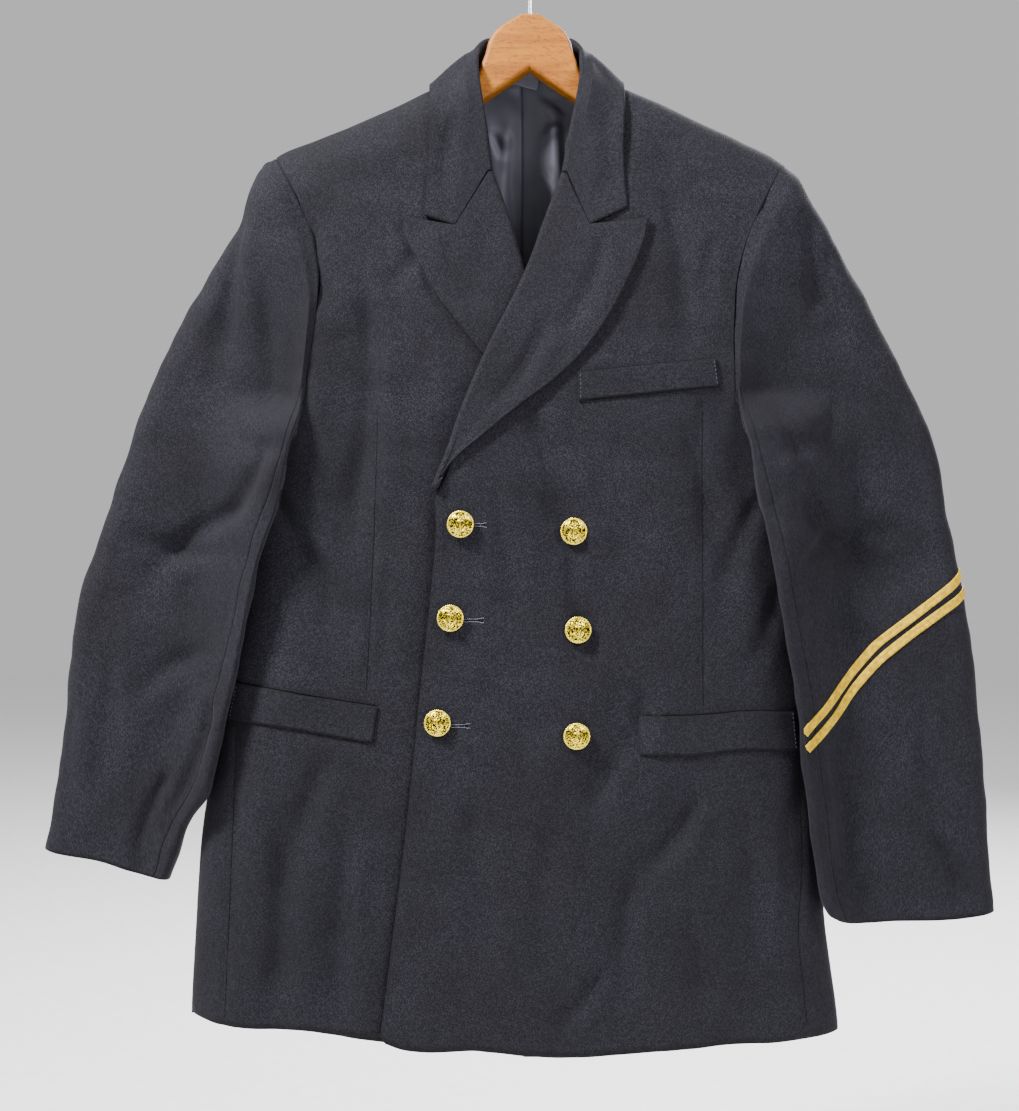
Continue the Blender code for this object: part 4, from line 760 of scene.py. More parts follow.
def uneven(x, z):
    """Slow unevenness of pressed cloth that has hung a while."""
    total = 0.0
    for length, height, turn in SURFACE_WAVE:
        k = math.tau / length
        across, along = x * math.cos(turn) + z * math.sin(turn), z * math.cos(turn) - x * math.sin(turn)
        total = total + height * np.sin(k * across + 3 * turn + WAVER * np.sin(k * WAVER_RATE * along))
    return total


# Steps of the panels, closer where the cloth rounds away, and how much finer each is cut here.
FINE_ACROSS, FINE_UP, FINE_ROUND, FINE_DOWN = 9, 7, 7, 9
ACROSS = fine((0, 0.07, 0.14, 0.22, 0.3, 0.38, 0.46, 0.54, 0.62, 0.7, 0.78, 0.86, 0.925,
               0.97, 1.0), FINE_ACROSS)
ACROSS_BACK = fine((0, 0.1, 0.2, 0.31, 0.42, 0.53, 0.64, 0.75, 0.85, 0.92, 0.97, 1.0), FINE_ACROSS)
UP_TO_ARM = np.array([0, 0.05, 0.1, 0.15, 0.2, 0.25, 0.3, 0.35, 0.4, 0.45, 0.49, 0.53])
SEAM_HIDDEN = np.array([0.1, 0.26, 0.5, 0.8])
# Seam points of a sleeve, from the shoulder down the front to its fold, and down the back.
SEAM_FRONT = np.array([0, 0.02, 0.065, 0.13, 0.22, 0.33, 0.45, 0.57, 0.69, 0.8, 0.89, 0.95, 0.985, 1.0])
SEAM_BACK = np.array([0, 0.04, 0.11, 0.2, 0.32, 0.46, 0.61, 0.77, 0.89, 0.96, 1.0])
NECK_SHARE = 0.31  # share of a back half's top edge that its neck takes
UNDERARM_SHARE = 0.57  # where the underarm comes on a panel's outer edge

# Hems of the fronts, from the front edge to the side. The lower front is mostly hidden.
HEM = metres({
    LEFT: (
        (-123, -916), (-120.5, -922.5), (-115, -925), (-41.1, -929.6), (8.4, -933.7), (57.9, -932.9),
        (107.5, -929.9), (157.2, -925.3), (207.8, -923), (260.3, -918.8),
    ),
    RIGHT: (
        (113, -922), (20, -922.5), (-70, -921), (-127.2, -919), (-190.2, -913.5), (-240.9, -911.2),
        (-267.5, -907.8), (-285.8, -903.5),
    ),
})
# Roll lines, from the break up to the collar.
ROLL = metres({
    LEFT: ((-75.7, -461), (-57, -402.5), (-38.3, -357.9), (-2.6, -284.4), (12.1, -243.3), (26, -206.1)),
    RIGHT: ((70.5, -461), (52, -402.5), (33, -358), (-4.2, -283.6), (-16.4, -242.8), (-30.3, -204.5)),
})
# Armhole seams seen from the front, from the underarm up to the shoulder.
ARMHOLE = metres({
    LEFT: (
        (244, -432), (215, -426), (186, -414), (170.5, -393.1), (167.3, -358.4), (167, -328.3),
        (169.3, -295.9), (179.2, -258.1), (194.5, -223.9), (213, -190.5),
    ),
    RIGHT: (
        (-244, -432), (-218, -428), (-198, -418), (-186.6, -398.8), (-181.8, -366.1), (-176.6, -333.3),
        (-172.9, -297.8), (-176.7, -265.7), (-190.2, -228.4), (-213, -185.5),
    ),
})
FOLD_POINT = 3  # the point of both seams above at which the sleeve's fold starts to hide them
ARMHOLE_BACK = metres((
    # x from the middle, z, from the underarm up to the shoulder
    (244, -432), (233, -406), (215, -372), (198, -330), (190, -285), (195, -238), (213, -188),
))
NECK_X, NECK_Z = 0.062, -0.1195
NECK_BACK_Z = -0.104
NECK_BACK = metres((
    # x from the middle, z, between the middle of the back and the shoulder line
    (22, -105), (45, -110),
))
BREAK_DROP = 0.01  # how far below the lapel's break a front's edge meets its straight run
SIDE_LOW_X = 0.275  # about where the hem meets the side seams
HEM_BACK = metres((
    (264, -920), (200, -933), (100, -945), (41, -950), (-10, -948.2), (-60, -942.5), (-120, -937.2),
    (-210, -923), (-287, -904),
))
MIDDLE_BACK_X = -0.006
ROLL_RADIUS = 0.004
EDGE_BEHIND_ROLL = 0.0046
STAND_OFF = 0.003  # from a front's outer face to the outer face of what is turned over it
INSIDE = 0.005  # from a front's outer face to the strip turned in behind it
EDGE_POINTS, SEAM_POINTS = 9, 12  # points read from a line before a curve is laid through them


def moved_in(rows, side):
    """A roll line's points moved off the opening, where the panel's own edge lies."""
    points = np.array(rows, float)
    return [tuple(p) for p in points + beside(points, side) * EDGE_BEHIND_ROLL]


def front_rows(side):
    """A front's rows: those beside the armhole lie at the sleeve's own seam points."""
    hidden_part = share_of(ARMHOLE[side], FOLD_POINT)
    shares = np.r_[0, SEAM_HIDDEN * hidden_part, hidden_part + (1 - hidden_part) * (1 - SEAM_FRONT[::-1])]
    return fine(np.r_[UP_TO_ARM, UNDERARM_SHARE + (1 - UNDERARM_SHARE) * shares], FINE_UP)


def back_rows():
    return fine(np.r_[UP_TO_ARM, UNDERARM_SHARE + (1 - UNDERARM_SHARE) * (1 - SEAM_BACK[::-1])], FINE_UP)


def shoulder(side, tip_x):
    """The shoulder line from the neck to the armhole."""
    xs = np.linspace(NECK_X, tip_x, EDGE_POINTS) * side
    return curve(stacked(xs, ridge(xs)))


def side_seam(side, low):
    zs = np.linspace(low, Z_UNDERARM, SEAM_POINTS)
    return curve(stacked(side * side_x(zs, side), zs))


def front_grid(side):
    """Outer points of a front."""
    hem, edge, armhole = HEM[side], FRONT_EDGE[side], ARMHOLE[side]
    low = hem[-1][1]
    corner = (side * side_x(low, side), low)
    bottom = curve(list(hem[:-1]) + [corner])
    top = shoulder(side, abs(armhole[-1][0]))
    below_break = (edge[-1][0], edge[-1][1] - BREAK_DROP)
    inner = curve(list(edge[:-1]) + [below_break] + moved_in(ROLL[side], side) + [tuple(top(0.0))])
    outer = joined(side_seam(side, low), curve(list(armhole[:-1]) + [tuple(top(1.0))]), UNDERARM_SHARE)
    flat = coons(bottom, top, inner, outer, ACROSS, front_rows(side))
    x, z = flat[..., 0], flat[..., 1]
    return stacked(x, front_y(x, z, side) - GAP / 2, z)


def back_grid(side):
    """Outer points of a back half."""
    hem_z = through(HEM_BACK)
    middle = MIDDLE_BACK_X + side * GAP / 2
    side_low = hem_z(np.array(side * SIDE_LOW_X))
    xs = np.linspace(middle, side * side_x(side_low, side), EDGE_POINTS)
    bottom = curve(stacked(xs, np.r_[hem_z(xs[:-1]), side_low]))
    tip = shoulder(side, ARMHOLE_BACK[-1][0])
    neck = [(middle, NECK_BACK_Z)] + [(side * x, z) for x, z in NECK_BACK] + [(side * NECK_X, NECK_Z)]
    top = joined(curve(neck), tip, NECK_SHARE)
    middle_low = float(hem_z(np.array(middle)))
    inner = curve([(middle, z) for z in np.linspace(middle_low, NECK_BACK_Z, SEAM_POINTS)])
    armhole = [(side * x, z) for x, z in ARMHOLE_BACK[:-1]] + [tuple(tip(1.0))]
    outer = joined(side_seam(side, side_low), curve(armhole), UNDERARM_SHARE)
    flat = coons(bottom, top, inner, outer, ACROSS_BACK, back_rows())
    x, z = flat[..., 0], flat[..., 1]
    return stacked(x, back_y(x, z) + GAP / 2, z)


FRONT_CREASES = metres((
    # wearer's right, beside the lapel and down to the pocket
    (-135, -300, -146, -500, 40, 9, 1.8), (-178, -250, -160, -330, -80, 8, 1.2),
    (-188, -505, -164, -580, 100, 8, 2), (-212, -470, -182, -545, 60, 7, 1.4),
    (-118, -540, -128, -625, 50, 7.5, 0.9), (-168, -690, -196, -800, -50, 10, 1.6),
    (-205, -750, -214, -905, 30, 9.5, 2), (-150, -760, -158, -915, -20, 8.5, 1.4),
    (-242, -700, -252, -860, 20, 10, 1.4), (-86, -250, -120, -300, 100, 7, 0.9),
    # middle, under the lapels and between the buttons
    (-7, -397, 33, -524, 50, 9.5, 1.9), (33, -520, 58, -604, -50, 9, 1.7),
    (-30, -470, -14, -580, 40, 8.5, 1), (-40, -620, 10, -668, -100, 7, 1),
    (92, -632, 72, -690, 120, 8.5, 1.8), (72, -690, 50, -735, -60, 8, 1.4),
    (-52, -720, -40, -850, 40, 11, 1), (20, -740, 16, -880, -50, 11, 1), (62, -860, 20, -915, 50, 7, 1.4),
    # wearer's left, chest, waist and skirt
    (112, -225, 128, -345, 50, 9, 1.6), (150, -260, 148, -340, -60, 8, 1),
    (128, -420, 150, -520, 50, 9.5, 1.4), (190, -470, 158, -560, -60, 9, 1.6),
    (205, -545, 176, -620, 50, 8, 1.2), (140, -718, 88, -785, 80, 8, 2), (88, -785, 82, -880, -60, 9, 1.6),
    (176, -730, 186, -880, 40, 11, 1.4), (218, -720, 226, -860, -30, 9, 1.2),
    (130, -800, 142, -910, 50, 9, 1),
))
# Darts and the side-front seams: the points of each and its depth.
FRONT_SEAMS = metres((
    (((-125, -405), (-126.8, -466), (-130, -550), (-134.5, -634)), 0.8),
    (((140, -400), (141, -520), (142, -648)), 0.7),
    (((223, -686), (225, -791), (222.8, -828.5), (230, -910)), 0.7),
    (((-242, -660), (-247, -770), (-253, -908)), 0.7),
))
BACK_CREASES = metres((
    (100, -260, 62, -420, 60, 10, 1.8), (170, -300, 120, -470, 50, 9, 1.6),
    (-104, -260, -70, -430, -50, 10, 1.8), (-168, -310, -126, -460, -60, 9, 1.5),
    (40, -160, 75, -230, 80, 8, 1), (-48, -160, -80, -225, -80, 8, 1), (60, -480, 100, -640, 50, 11, 1.4),
    (-70, -500, -108, -660, -40, 11, 1.4), (150, -560, 170, -740, 30, 10, 1.4),
    (-150, -580, -190, -760, -30, 10, 1.4), (110, -700, 126, -890, 40, 11, 1.2),
    (-60, -720, -72, -900, -40, 11, 1.2), (-205, -700, -225, -880, 30, 10, 1.4),
    (30, -730, 34, -900, 30, 9, 1),
))
BACK_SEAMS = metres((
    (((196, -430), (190, -560), (205, -740), (216, -920)), 0.7),
    (((-196, -430), (-202, -560), (-220, -740), (-235, -915)), 0.7),
))
SLEEVE_CREASES = metres({
    LEFT: (
        (226, -240, 236, -330, 50, 7, 1.6), (246, -262, 262, -360, -40, 7, 1.2),
        (200, -400, 236, -500, 60, 8.5, 2), (215, -470, 290, -530, -80, 8.5, 2),
        (225, -520, 320, -505, 100, 8, 1.8), (240, -560, 300, -600, -60, 8, 1.2),
        (300, -400, 330, -490, 60, 9, 1.2), (250, -680, 262, -790, 40, 8.5, 1.4),
        (330, -640, 345, -760, -40, 9, 1.2), (335, -755, 362, -812, 80, 6, 2.2),
    ),
    RIGHT: (
        (-240, -240, -248, -360, -40, 7, 1.8), (-222, -300, -214, -400, 50, 8, 1.4),
        (-214, -430, -262, -505, 60, 8.5, 2), (-240, -480, -318, -540, -60, 8.5, 1.8),
        (-262, -520, -340, -500, 80, 8.5, 1.6), (-270, -600, -330, -640, -80, 9, 1.4),
        (-262, -640, -300, -735, 50, 6.5, 2.2), (-300, -700, -326, -775, -60, 6.5, 2),
        (-350, -600, -362, -730, 30, 9, 1.2), (-380, -640, -388, -750, -30, 8, 1.2),
    ),
})
RIDGE_REACH = 0.0012  # how near to the ridge a panel's last row lies where the shoulder seam is


def on_ridge(grid, facing):
    """Puts the last row exactly on the shoulder's ridge, half a gap from the other panel."""
    x, z = grid[-1, :, X], grid[-1, :, Z]
    near = np.abs(ridge(x) - z) < RIDGE_REACH
    grid[-1, near, Y] = facing[Y] * GAP / 2
    grid[-1, near, Z] = ridge(x)[near]
    return grid


def detailed_back(side):
    grid = back_grid(side)
    x, z = grid[..., X], grid[..., Z]
    height = (creases(BACK_CREASES, x, z) + uneven(x, z)) * body_round(x, z) + grooves(BACK_SEAMS, x, z)
    return on_ridge(grid + outward(grid, BACKWARD) * height[..., None], BACKWARD)


def detailed_front(side):
    grid = front_grid(side)
    x, z = grid[..., X], grid[..., Z]
    shown = 1.0 if side == LEFT else 1 - hidden(x, z)
    height = (creases(FRONT_CREASES, x, z) + uneven(x, z)) * body_round(x, z) + grooves(FRONT_SEAMS, x, z)
    return on_ridge(grid + outward(grid, FORWARD) * (height * shown)[..., None], FORWARD)


def fronts(wool):
    for side, name in SIDE_NAMES.items():
        cloth("front_" + name, detailed_front(side), wool, FORWARD, square_edges=(("outer", Y), ("top", Y)))


def backs(wool):
    for side, name in SIDE_NAMES.items():
        cloth("back_" + name, detailed_back(side), wool, BACKWARD,
              square_edges=(("outer", Y), ("top", Y), ("inner", X)))


VENT_ROOM = 0.0027  # from the back's outer face to the underlap's
VENT_WIDE = 0.0345
VENT_EDGE = 0.0015  # from the middle seam to the underlap's edge, and from the hem up to it
VENT_HEM_X = 0.02  # where the hem's height is read for it


def vent(wool):
    """The vent's underlap, inside the wearer's left back half along the middle seam."""
    hem = float(through(HEM_BACK)(np.array(VENT_HEM_X)))
    zs = np.linspace(Z_VENT, hem + VENT_EDGE, 60)
    xs = MIDDLE_BACK_X + np.linspace(VENT_EDGE, VENT_EDGE + VENT_WIDE, 12)
    x, z = np.meshgrid(xs, zs)
    y = back_y(x, z) - VENT_ROOM
    cloth("vent_underlap", stacked(x, y, z), wool, BACKWARD)


# Lapels: the outer edge from the break to the tip, then the gorge corner.
LAPEL = metres({
    LEFT: (
        (-72.4, -459.4), (-61.1, -441.5), (-40.8, -424.5), (-8.3, -398.3), (16.1, -380.4), (40.6, -357.6),
        (60.9, -330.8), (81.2, -292.5), (94.5, -258), (97.2, -245),
    ),
    RIGHT: (
        (67.2, -459.4), (56, -442), (38, -424.5), (9, -399), (-15, -380), (-35.9, -359), (-57.1, -332.9),
        (-77.5, -306), (-93.8, -275.9), (-104, -250), (-102.5, -243),
    ),
})
GORGE = metres({LEFT: (48.7, -250.2), RIGHT: (-61.2, -249.8)})
# Collar, from the middle of the back to its front ends.
COLLAR_FOLD = metres((
    # x left, x right, y, z
    (0, 0, 33, -74), (19, 19, 30, -75), (34.5, 34.5, 19, -76.5), (42.5, 43.2, 3, -89.5),
    (42.4, 43.1, -13, -106), (40.9, 41.3, -22.5, -125.8), (37.8, 38.7, -29, -143), (32, 34.4, -34, -171.5),
))
COLLAR_EDGE = metres((
    # x left, x right, way over the shoulder: behind is negative, in front positive
    (0, 0, -96), (28, 29, -86), (55, 57, -64), (74, 77, -38), (79, 83.5, 0), (78, 82.5, 50),
    (76.5, 82.5, 92.5), (78, 84.5, 121),
))
COLLAR_CORNER = metres({LEFT: (79.8, -235.9), RIGHT: (-86.5, -241.6)})
ROLL_ANGLES = np.radians(np.linspace(0, 180, 13))
RIDGE_ROOM = 0.0019  # more room under the collar where it bends over the shoulder
RIDGE_ROOM_LOW = 0.065  # how far below the ridge that room has gone
TOP_HALF = 0.03  # how far before and behind the ridge the collar counts as over it
TOP_RISE = 0.6  # share of that room by which the collar is lifted there
STAND_IN = 0.0085  # from the back's outer face to the outer face of the collar's stand
STRIP_BACK = 0.0012  # how much further back the strip lies than the roll that it comes from
COLLAR_ARCH = 0.008  # how high the leaf stands up over the shoulder
ARCH_SHIFT, ARCH_ROUND = 0.75, 1.2  # powers: below 1 moves the arch's top inwards, above 1 sharpens it
SLIM_ROLL = 0.0027  # the collar's fold round the back of the neck
SLIM_UP_TO = 0.6  # share of a collar half up to which its fold stays slim
END_PULL_FROM = 0.55  # share of a collar half from which it is fitted to its front end
GORGE_SHARE = 0.45  # share of a lapel's or collar's end where the gorge seam's corner comes
INNER_STRIP = 0.01  # how wide a strip of the facing shows inside the neck
SEAM_IN = 0.0042  # how far inside the neck seam the collar's stand follows the back
STAND_DROP = 0.00672  # how far it reaches down inside the neck seam
STAND_DRAWN_IN = 0.985  # the stand's width beside that of the neck seam
STAND_SIDE = (0.06, -0.1185)
STAND_FRONT = (0.046, -0.14)  # where the stand would meet the shoulder line in front
STAND_SHARES = (0.62, 0.3, 0.0)  # its points between there and the collar's front end
STAND_END_IN = 0.014  # how far inside the fold the stand's front end lies
STAND_FORWARD = 0.003
LAPEL_UP = fine((0, 0.08, 0.17, 0.26, 0.35, 0.44, 0.53, 0.62, 0.7, 0.78, 0.85, 0.91, 0.96, 1.0), 7)
LAPEL_ACROSS = fine((1.0, 0.86, 0.7, 0.54, 0.38, 0.22, 0.09), 6)
COLLAR_ROWS = fine((0, 0.1, 0.2, 0.3, 0.39, 0.47, 0.55, 0.63, 0.71, 0.79, 0.86, 0.93, 1.0), 6)
COLLAR_ACROSS = fine((1.0, 0.82, 0.6, 0.38, 0.16), 6)
LEAF_CREASES = metres((
    (60, -262, 20, -345, 80, 8, 1), (12, -330, -30, -400, 60, 8, 1.2), (-70, -262, -36, -318, -80, 7, 0.9),
    (60, -160, 66, -225, 50, 7, 0.8), (-62, -160, -70, -228, -50, 7, 0.8),
))
LEAF_UNEVEN = 0.6  # share of a panel's unevenness that a pressed leaf has
LAPEL_SWELL = 0.0012  # how much a leaf swells beside its fold
SWELL_SHARE = 0.55  # share of its width over which it does
EDGE_LIFT = 0.0016  # how far its edge lifts off the front
LIFT_FROM = 0.75  # share of its width from which it lifts
LIFT_ABOVE = 0.15  # share of its length, from the break, over which the lift begins
# The upper lapel's lower end curves into the front's edge: over what share, and how far.
BEND_SHARE = 0.14
BEND_OUT, BEND_DOWN = 0.005, 0.005


def laid(x, z, side):
    """Points of what lies on a front."""
    return stacked(x, front_y(x, z, side) - STAND_OFF, z)


def roll_columns(centre, out, up, radius):
    """The half turn of a fold and the way that each of its columns faces."""
    faces = np.stack([out * math.cos(a) + up * math.sin(a) for a in ROLL_ANGLES], axis=1)
    return centre[:, None] + faces * radius[:, None, None], faces


def lapel_leaf(side, start):
    """The turned leaf of a lapel, from its fold out to its edge."""
    edge_rows, gorge = LAPEL[side], GORGE[side]
    top = joined(line(start(1.0), gorge), line(gorge, edge_rows[-1]), GORGE_SHARE)
    flat = coons(line(start(0.0), edge_rows[0]), top, start, curve(edge_rows), LAPEL_ACROSS, LAPEL_UP)
    x, z = flat[..., 0], flat[..., 1]
    leaf = laid(x, z, side)
    leaf[..., Y] -= creases(LEAF_CREASES, x, z) + uneven(x, z) * LEAF_UNEVEN
    # The leaf swells a little beside its fold and lies down again before its edge.
    swell = np.sin(math.pi * np.clip((1 - LAPEL_ACROSS) / SWELL_SHARE, 0, 1)) ** 2
    leaf[..., Y] -= LAPEL_SWELL * swell[None] * np.sin(math.pi * LAPEL_UP)[:, None] ** 0.5
    # Its edge lifts off the front, so a line of shadow follows it.
    lift = smooth((LAPEL_ACROSS - LIFT_FROM) / (1 - LIFT_FROM))[None] * smooth(LAPEL_UP / LIFT_ABOVE)[:, None]
    leaf[..., Y] -= EDGE_LIFT * lift
    return leaf


def lapel(side, wool):
    """A facing turned back over the roll line, with the strip that shows inside the neck."""
    coarse = curve(ROLL[side])(np.linspace(0, 1, SEAM_POINTS))
    start = curve(coarse + beside(coarse, side) * ROLL_RADIUS)
    leaf = lapel_leaf(side, start)
    fold = start(LAPEL_UP)
    away = beside(fold, side)
    middle_y = front_y(fold[:, 0], fold[:, 1], side) - STAND_OFF + ROLL_RADIUS
    centre = stacked(fold[:, 0], middle_y, fold[:, 1])
    up = stacked(-away[:, 0], np.zeros(len(away)), -away[:, 1])
    columns, faces = roll_columns(centre, np.broadcast_to(FORWARD, up.shape), up,
                                  np.full(len(up), ROLL_RADIUS))
    strip = np.linspace(0.1, 1.0, 8) * INNER_STRIP
    inner = columns[:, -1:] - up[:, None] * strip[None, :, None] + BACKWARD * STRIP_BACK
    if side == LEFT:
        bend = smooth((BEND_SHARE - LAPEL_UP) / BEND_SHARE)[:, None]
        for part in (leaf, columns, inner):
            part[..., X] -= BEND_OUT * bend
            part[..., Z] -= BEND_DOWN * bend
    folded_wall("lapel_" + SIDE_NAMES[side], leaf[:, :-1], columns, inner, faces, wool)


def over_shoulder(x, way, off):
    """A point of the body at a way over the shoulder line, moved out: y and z."""
    def plain(w):
        angle = np.clip(w / SHOULDER_RADIUS, -math.pi / 2, math.pi / 2)
        rest = np.maximum(np.abs(w) - SHOULDER_RADIUS * math.pi / 2, 0)
        z = ridge(x) - SHOULDER_RADIUS * (1 - np.cos(angle)) - rest
        depth = np.where(w > 0, depth_front(z), depth_back(z))
        return stacked(-depth * np.sin(angle), z)

    step = 0.002
    run = unit(plain(way + step) - plain(way - step))
    return plain(way) + stacked(-np.abs(run[..., 1]) * np.sign(way), np.abs(run[..., 0])) * off


def collar_fold(side, front_x, front_z):
    """The collar's fold line, from the middle of the back to the lapel's roll line."""
    column = 0 if side == LEFT else 1
    front_fold_y = float(front_y(front_x, front_z, side)) - STAND_OFF + ROLL_RADIUS
    rows = [(side * row[column], row[2], row[3]) for row in COLLAR_FOLD]
    fold = curve(rows + [(front_x, front_fold_y, front_z)])(COLLAR_ROWS)
    # The end of the collar is cut a seam's gap short of the lapel.
    fold[-1] += unit(fold[-2] - fold[-1]) * 2 * GAP
    return fold


def collar_edge(side):
    """The collar's outer edge, over the shoulder and down to its front corner."""
    corner_x, corner_z = COLLAR_CORNER[side]
    column = 0 if side == LEFT else 1
    rows = [(side * row[column], *over_shoulder(side * row[column], row[2], STAND_OFF + RIDGE_ROOM))
            for row in COLLAR_EDGE]
    corner_y = float(front_y(corner_x, corner_z, side)) - STAND_OFF
    return curve(rows + [(corner_x, corner_y, corner_z)])(COLLAR_ROWS)


def collar_stand(side, front_x, front_z):
    """The lower edge of the stand, which ends inside the neck seam of the panels."""
    rows = []
    for x, z in ((0.0, NECK_BACK_Z),) + NECK_BACK:
        y = float(back_y(side * x, z - SEAM_IN)) - STAND_IN
        rows.append((side * x * STAND_DRAWN_IN, y, z - STAND_DROP))
    rows.append((side * STAND_SIDE[0] * STAND_DRAWN_IN, 0.0, STAND_SIDE[1] - STAND_DROP))
    for share in STAND_SHARES:
        x = front_x + side * ((STAND_FRONT[0] - abs(front_x)) * share + STAND_END_IN * (1 - share))
        z = front_z + (STAND_FRONT[1] - front_z) * share
        rows.append((x, float(front_y(x, z, side)) + INSIDE - STAND_OFF + STAND_FORWARD, z))
    return curve(rows)(COLLAR_ROWS)


def collar_leaf(side, start, edge):
    """The turned leaf of half the collar, laid on the body below the ridge and arched over it."""
    gorge = GORGE[side]
    end = joined(line(start[-1][[X, Z]], gorge), line(gorge, COLLAR_CORNER[side]), GORGE_SHARE)(COLLAR_ACROSS)
    end_points = laid(end[..., 0], end[..., 1], side)
    share = COLLAR_ACROSS[None, :, None]
    leaf = start[:, None] * (1 - share) + edge[:, None] * share
    pull = smooth((COLLAR_ROWS - END_PULL_FROM) / (1 - END_PULL_FROM))[:, None, None]
    leaf += pull * (end_points - leaf[-1])[None]
    x, y, z = leaf[..., X].copy(), leaf[..., Y].copy(), leaf[..., Z].copy()
    near_ridge = 1 - smooth((ridge(x) - z) / RIDGE_ROOM_LOW)
    off = STAND_OFF + RIDGE_ROOM * near_ridge
    held = np.where(y < 0, np.minimum(y, front_y(x, z, side) - off), np.maximum(y, back_y(x, z) + off))
    leaf[..., Y] = np.where(z < ridge(x), held, y)
    over_top = smooth((TOP_HALF - np.abs(leaf[..., Y])) / TOP_HALF)
    leaf[..., Z] += RIDGE_ROOM * near_ridge * over_top * TOP_RISE
    # The leaf stands up between its fold and its edge, where it goes over the shoulder.
    arched = np.sin(math.pi * COLLAR_ACROSS ** ARCH_SHIFT)[None] ** ARCH_ROUND
    leaf[..., Z] += COLLAR_ARCH * arched * over_top
    return leaf


def collar_half(side):
    """Leaf, roll, stand and roll faces of half the collar, from the middle to the front end."""
    fold = collar_fold(side, *ROLL[side][-1])
    edge = collar_edge(side)
    stand = collar_stand(side, *ROLL[side][-1])
    run = unit(np.gradient(fold, axis=0))

    def square_way(target):
        way = target - fold
        return unit(way - run * np.sum(way * run, axis=1, keepdims=True))

    to_edge, to_stand = square_way(edge), square_way(stand)
    down, out = unit(to_edge + to_stand), unit(to_edge - to_stand)
    wider = smooth((COLLAR_ROWS - SLIM_UP_TO) / (1 - SLIM_UP_TO))
    radius = SLIM_ROLL + (ROLL_RADIUS - SLIM_ROLL) * wider
    columns, faces = roll_columns(fold + down * radius[:, None], out, -down, radius)
    leaf = collar_leaf(side, columns[:, 0], edge)
    inner = np.stack([columns[:, -1] * (1 - t) + stand * t for t in np.linspace(0.1, 1.0, 14)], axis=1)
    return leaf, columns, inner, faces


def collar(wool):
    halves = zip(collar_half(LEFT), collar_half(RIGHT))
    leaf, columns, inner, faces = (np.concatenate([right[::-1], left[1:]]) for left, right in halves)
    leaf[..., Y] -= creases(LEAF_CREASES, leaf[..., X], leaf[..., Z]) * (leaf[..., Y] < 0)
    folded_wall("collar", leaf[:, :-1], columns, inner, faces, wool, true_ends=True)


# Sleeves: the outer outline from the shoulder to the cuff, as the front view shows it.
SLEEVE_OUTER = metres({
    LEFT: (
        (213, -190.5), (221.5, -197), (227, -211.5), (245, -239.6), (276.8, -294.8), (306, -349),
        (325.5, -389.3), (340, -429.3), (348.4, -469.4), (356.8, -509.4), (368, -562.8), (378.4, -656.3),
        (384.6, -736.4), (391.5, -819),
    ),
    RIGHT: (
        (-213, -185.5), (-221.5, -189), (-231, -209), (-242.4, -239.6), (-276, -294.8), (-303.8, -349),
        (-322.6, -389.3), (-350.4, -469.4), (-364.2, -509.4), (-378.3, -549.5), (-387.2, -616.2),
        (-396.6, -696.3), (-408, -766.5),
    ),
})
# Inner fold, from where it leaves the armhole seam to the cuff.
SLEEVE_INNER = metres({
    LEFT: (
        (170.5, -393.1), (177.6, -428.2), (184.5, -462.7), (191.5, -497.2), (203.4, -565.4),
        (210.7, -606.4), (217.7, -643.5), (223, -693), (234.9, -771.6), (241.1, -805), (248.1, -818.7),
    ),
    RIGHT: (
        (-186.6, -398.8), (-198, -444), (-206.1, -487.4), (-218.7, -522.8), (-230.6, -573.8),
        (-242.5, -631.7), (-254.4, -677.3), (-266.8, -719.3), (-281.9, -741), (-302.7, -792.5),
    ),
})
CUFF = metres({
    LEFT: ((391.5, -819), (358.5, -824), (307.2, -825.6), (260.5, -824.5), (248.1, -818.7)),
    RIGHT: ((-408, -766.5), (-391.2, -770.2), (-357.1, -776.5), (-328.8, -786.2), (-302.7, -792.5)),
})
SLEEVE_FULLNESS = (
    # share of the length, half thickness, half thickness at the inner fold
    (0.0, 0.034, 0.0065), (0.12, 0.03, 0.0078), (0.3, 0.022, 0.0078), (0.6, 0.018, 0.0075),
    (1.0, 0.015, 0.008),
)
SLEEVE_ROWS = fine((0, 0.025, 0.06, 0.1, 0.15, 0.21, 0.28, 0.35, 0.42, 0.5, 0.58, 0.66, 0.75,
                    0.84, 0.93, 1.0), FINE_DOWN)
SLEEVE_REST_Y = -0.003  # middle of a sleeve's thickness where it hangs beside the body
SLEEVE_CLEAR = 0.0045  # room between a sleeve and the front that it lies on
SLEEVE_EASE = 0.16  # share of the length over which it leaves the armhole's shape
SLEEVE_START = 0.03  # share of the length over which it comes clear of the body
SLEEVE_LEAVES = 0.005  # how far a sleeve stands off the body soon after its seam
SIDE_ROOM = 0.004  # more room between them where the body rounds away
SLEEVE_SEAM = 0.0021  # room between a sleeve and the armhole, whose walls turn past each other
BACK_SHARE = 0.74  # share of the back half's top edge from the shoulder to the underarm
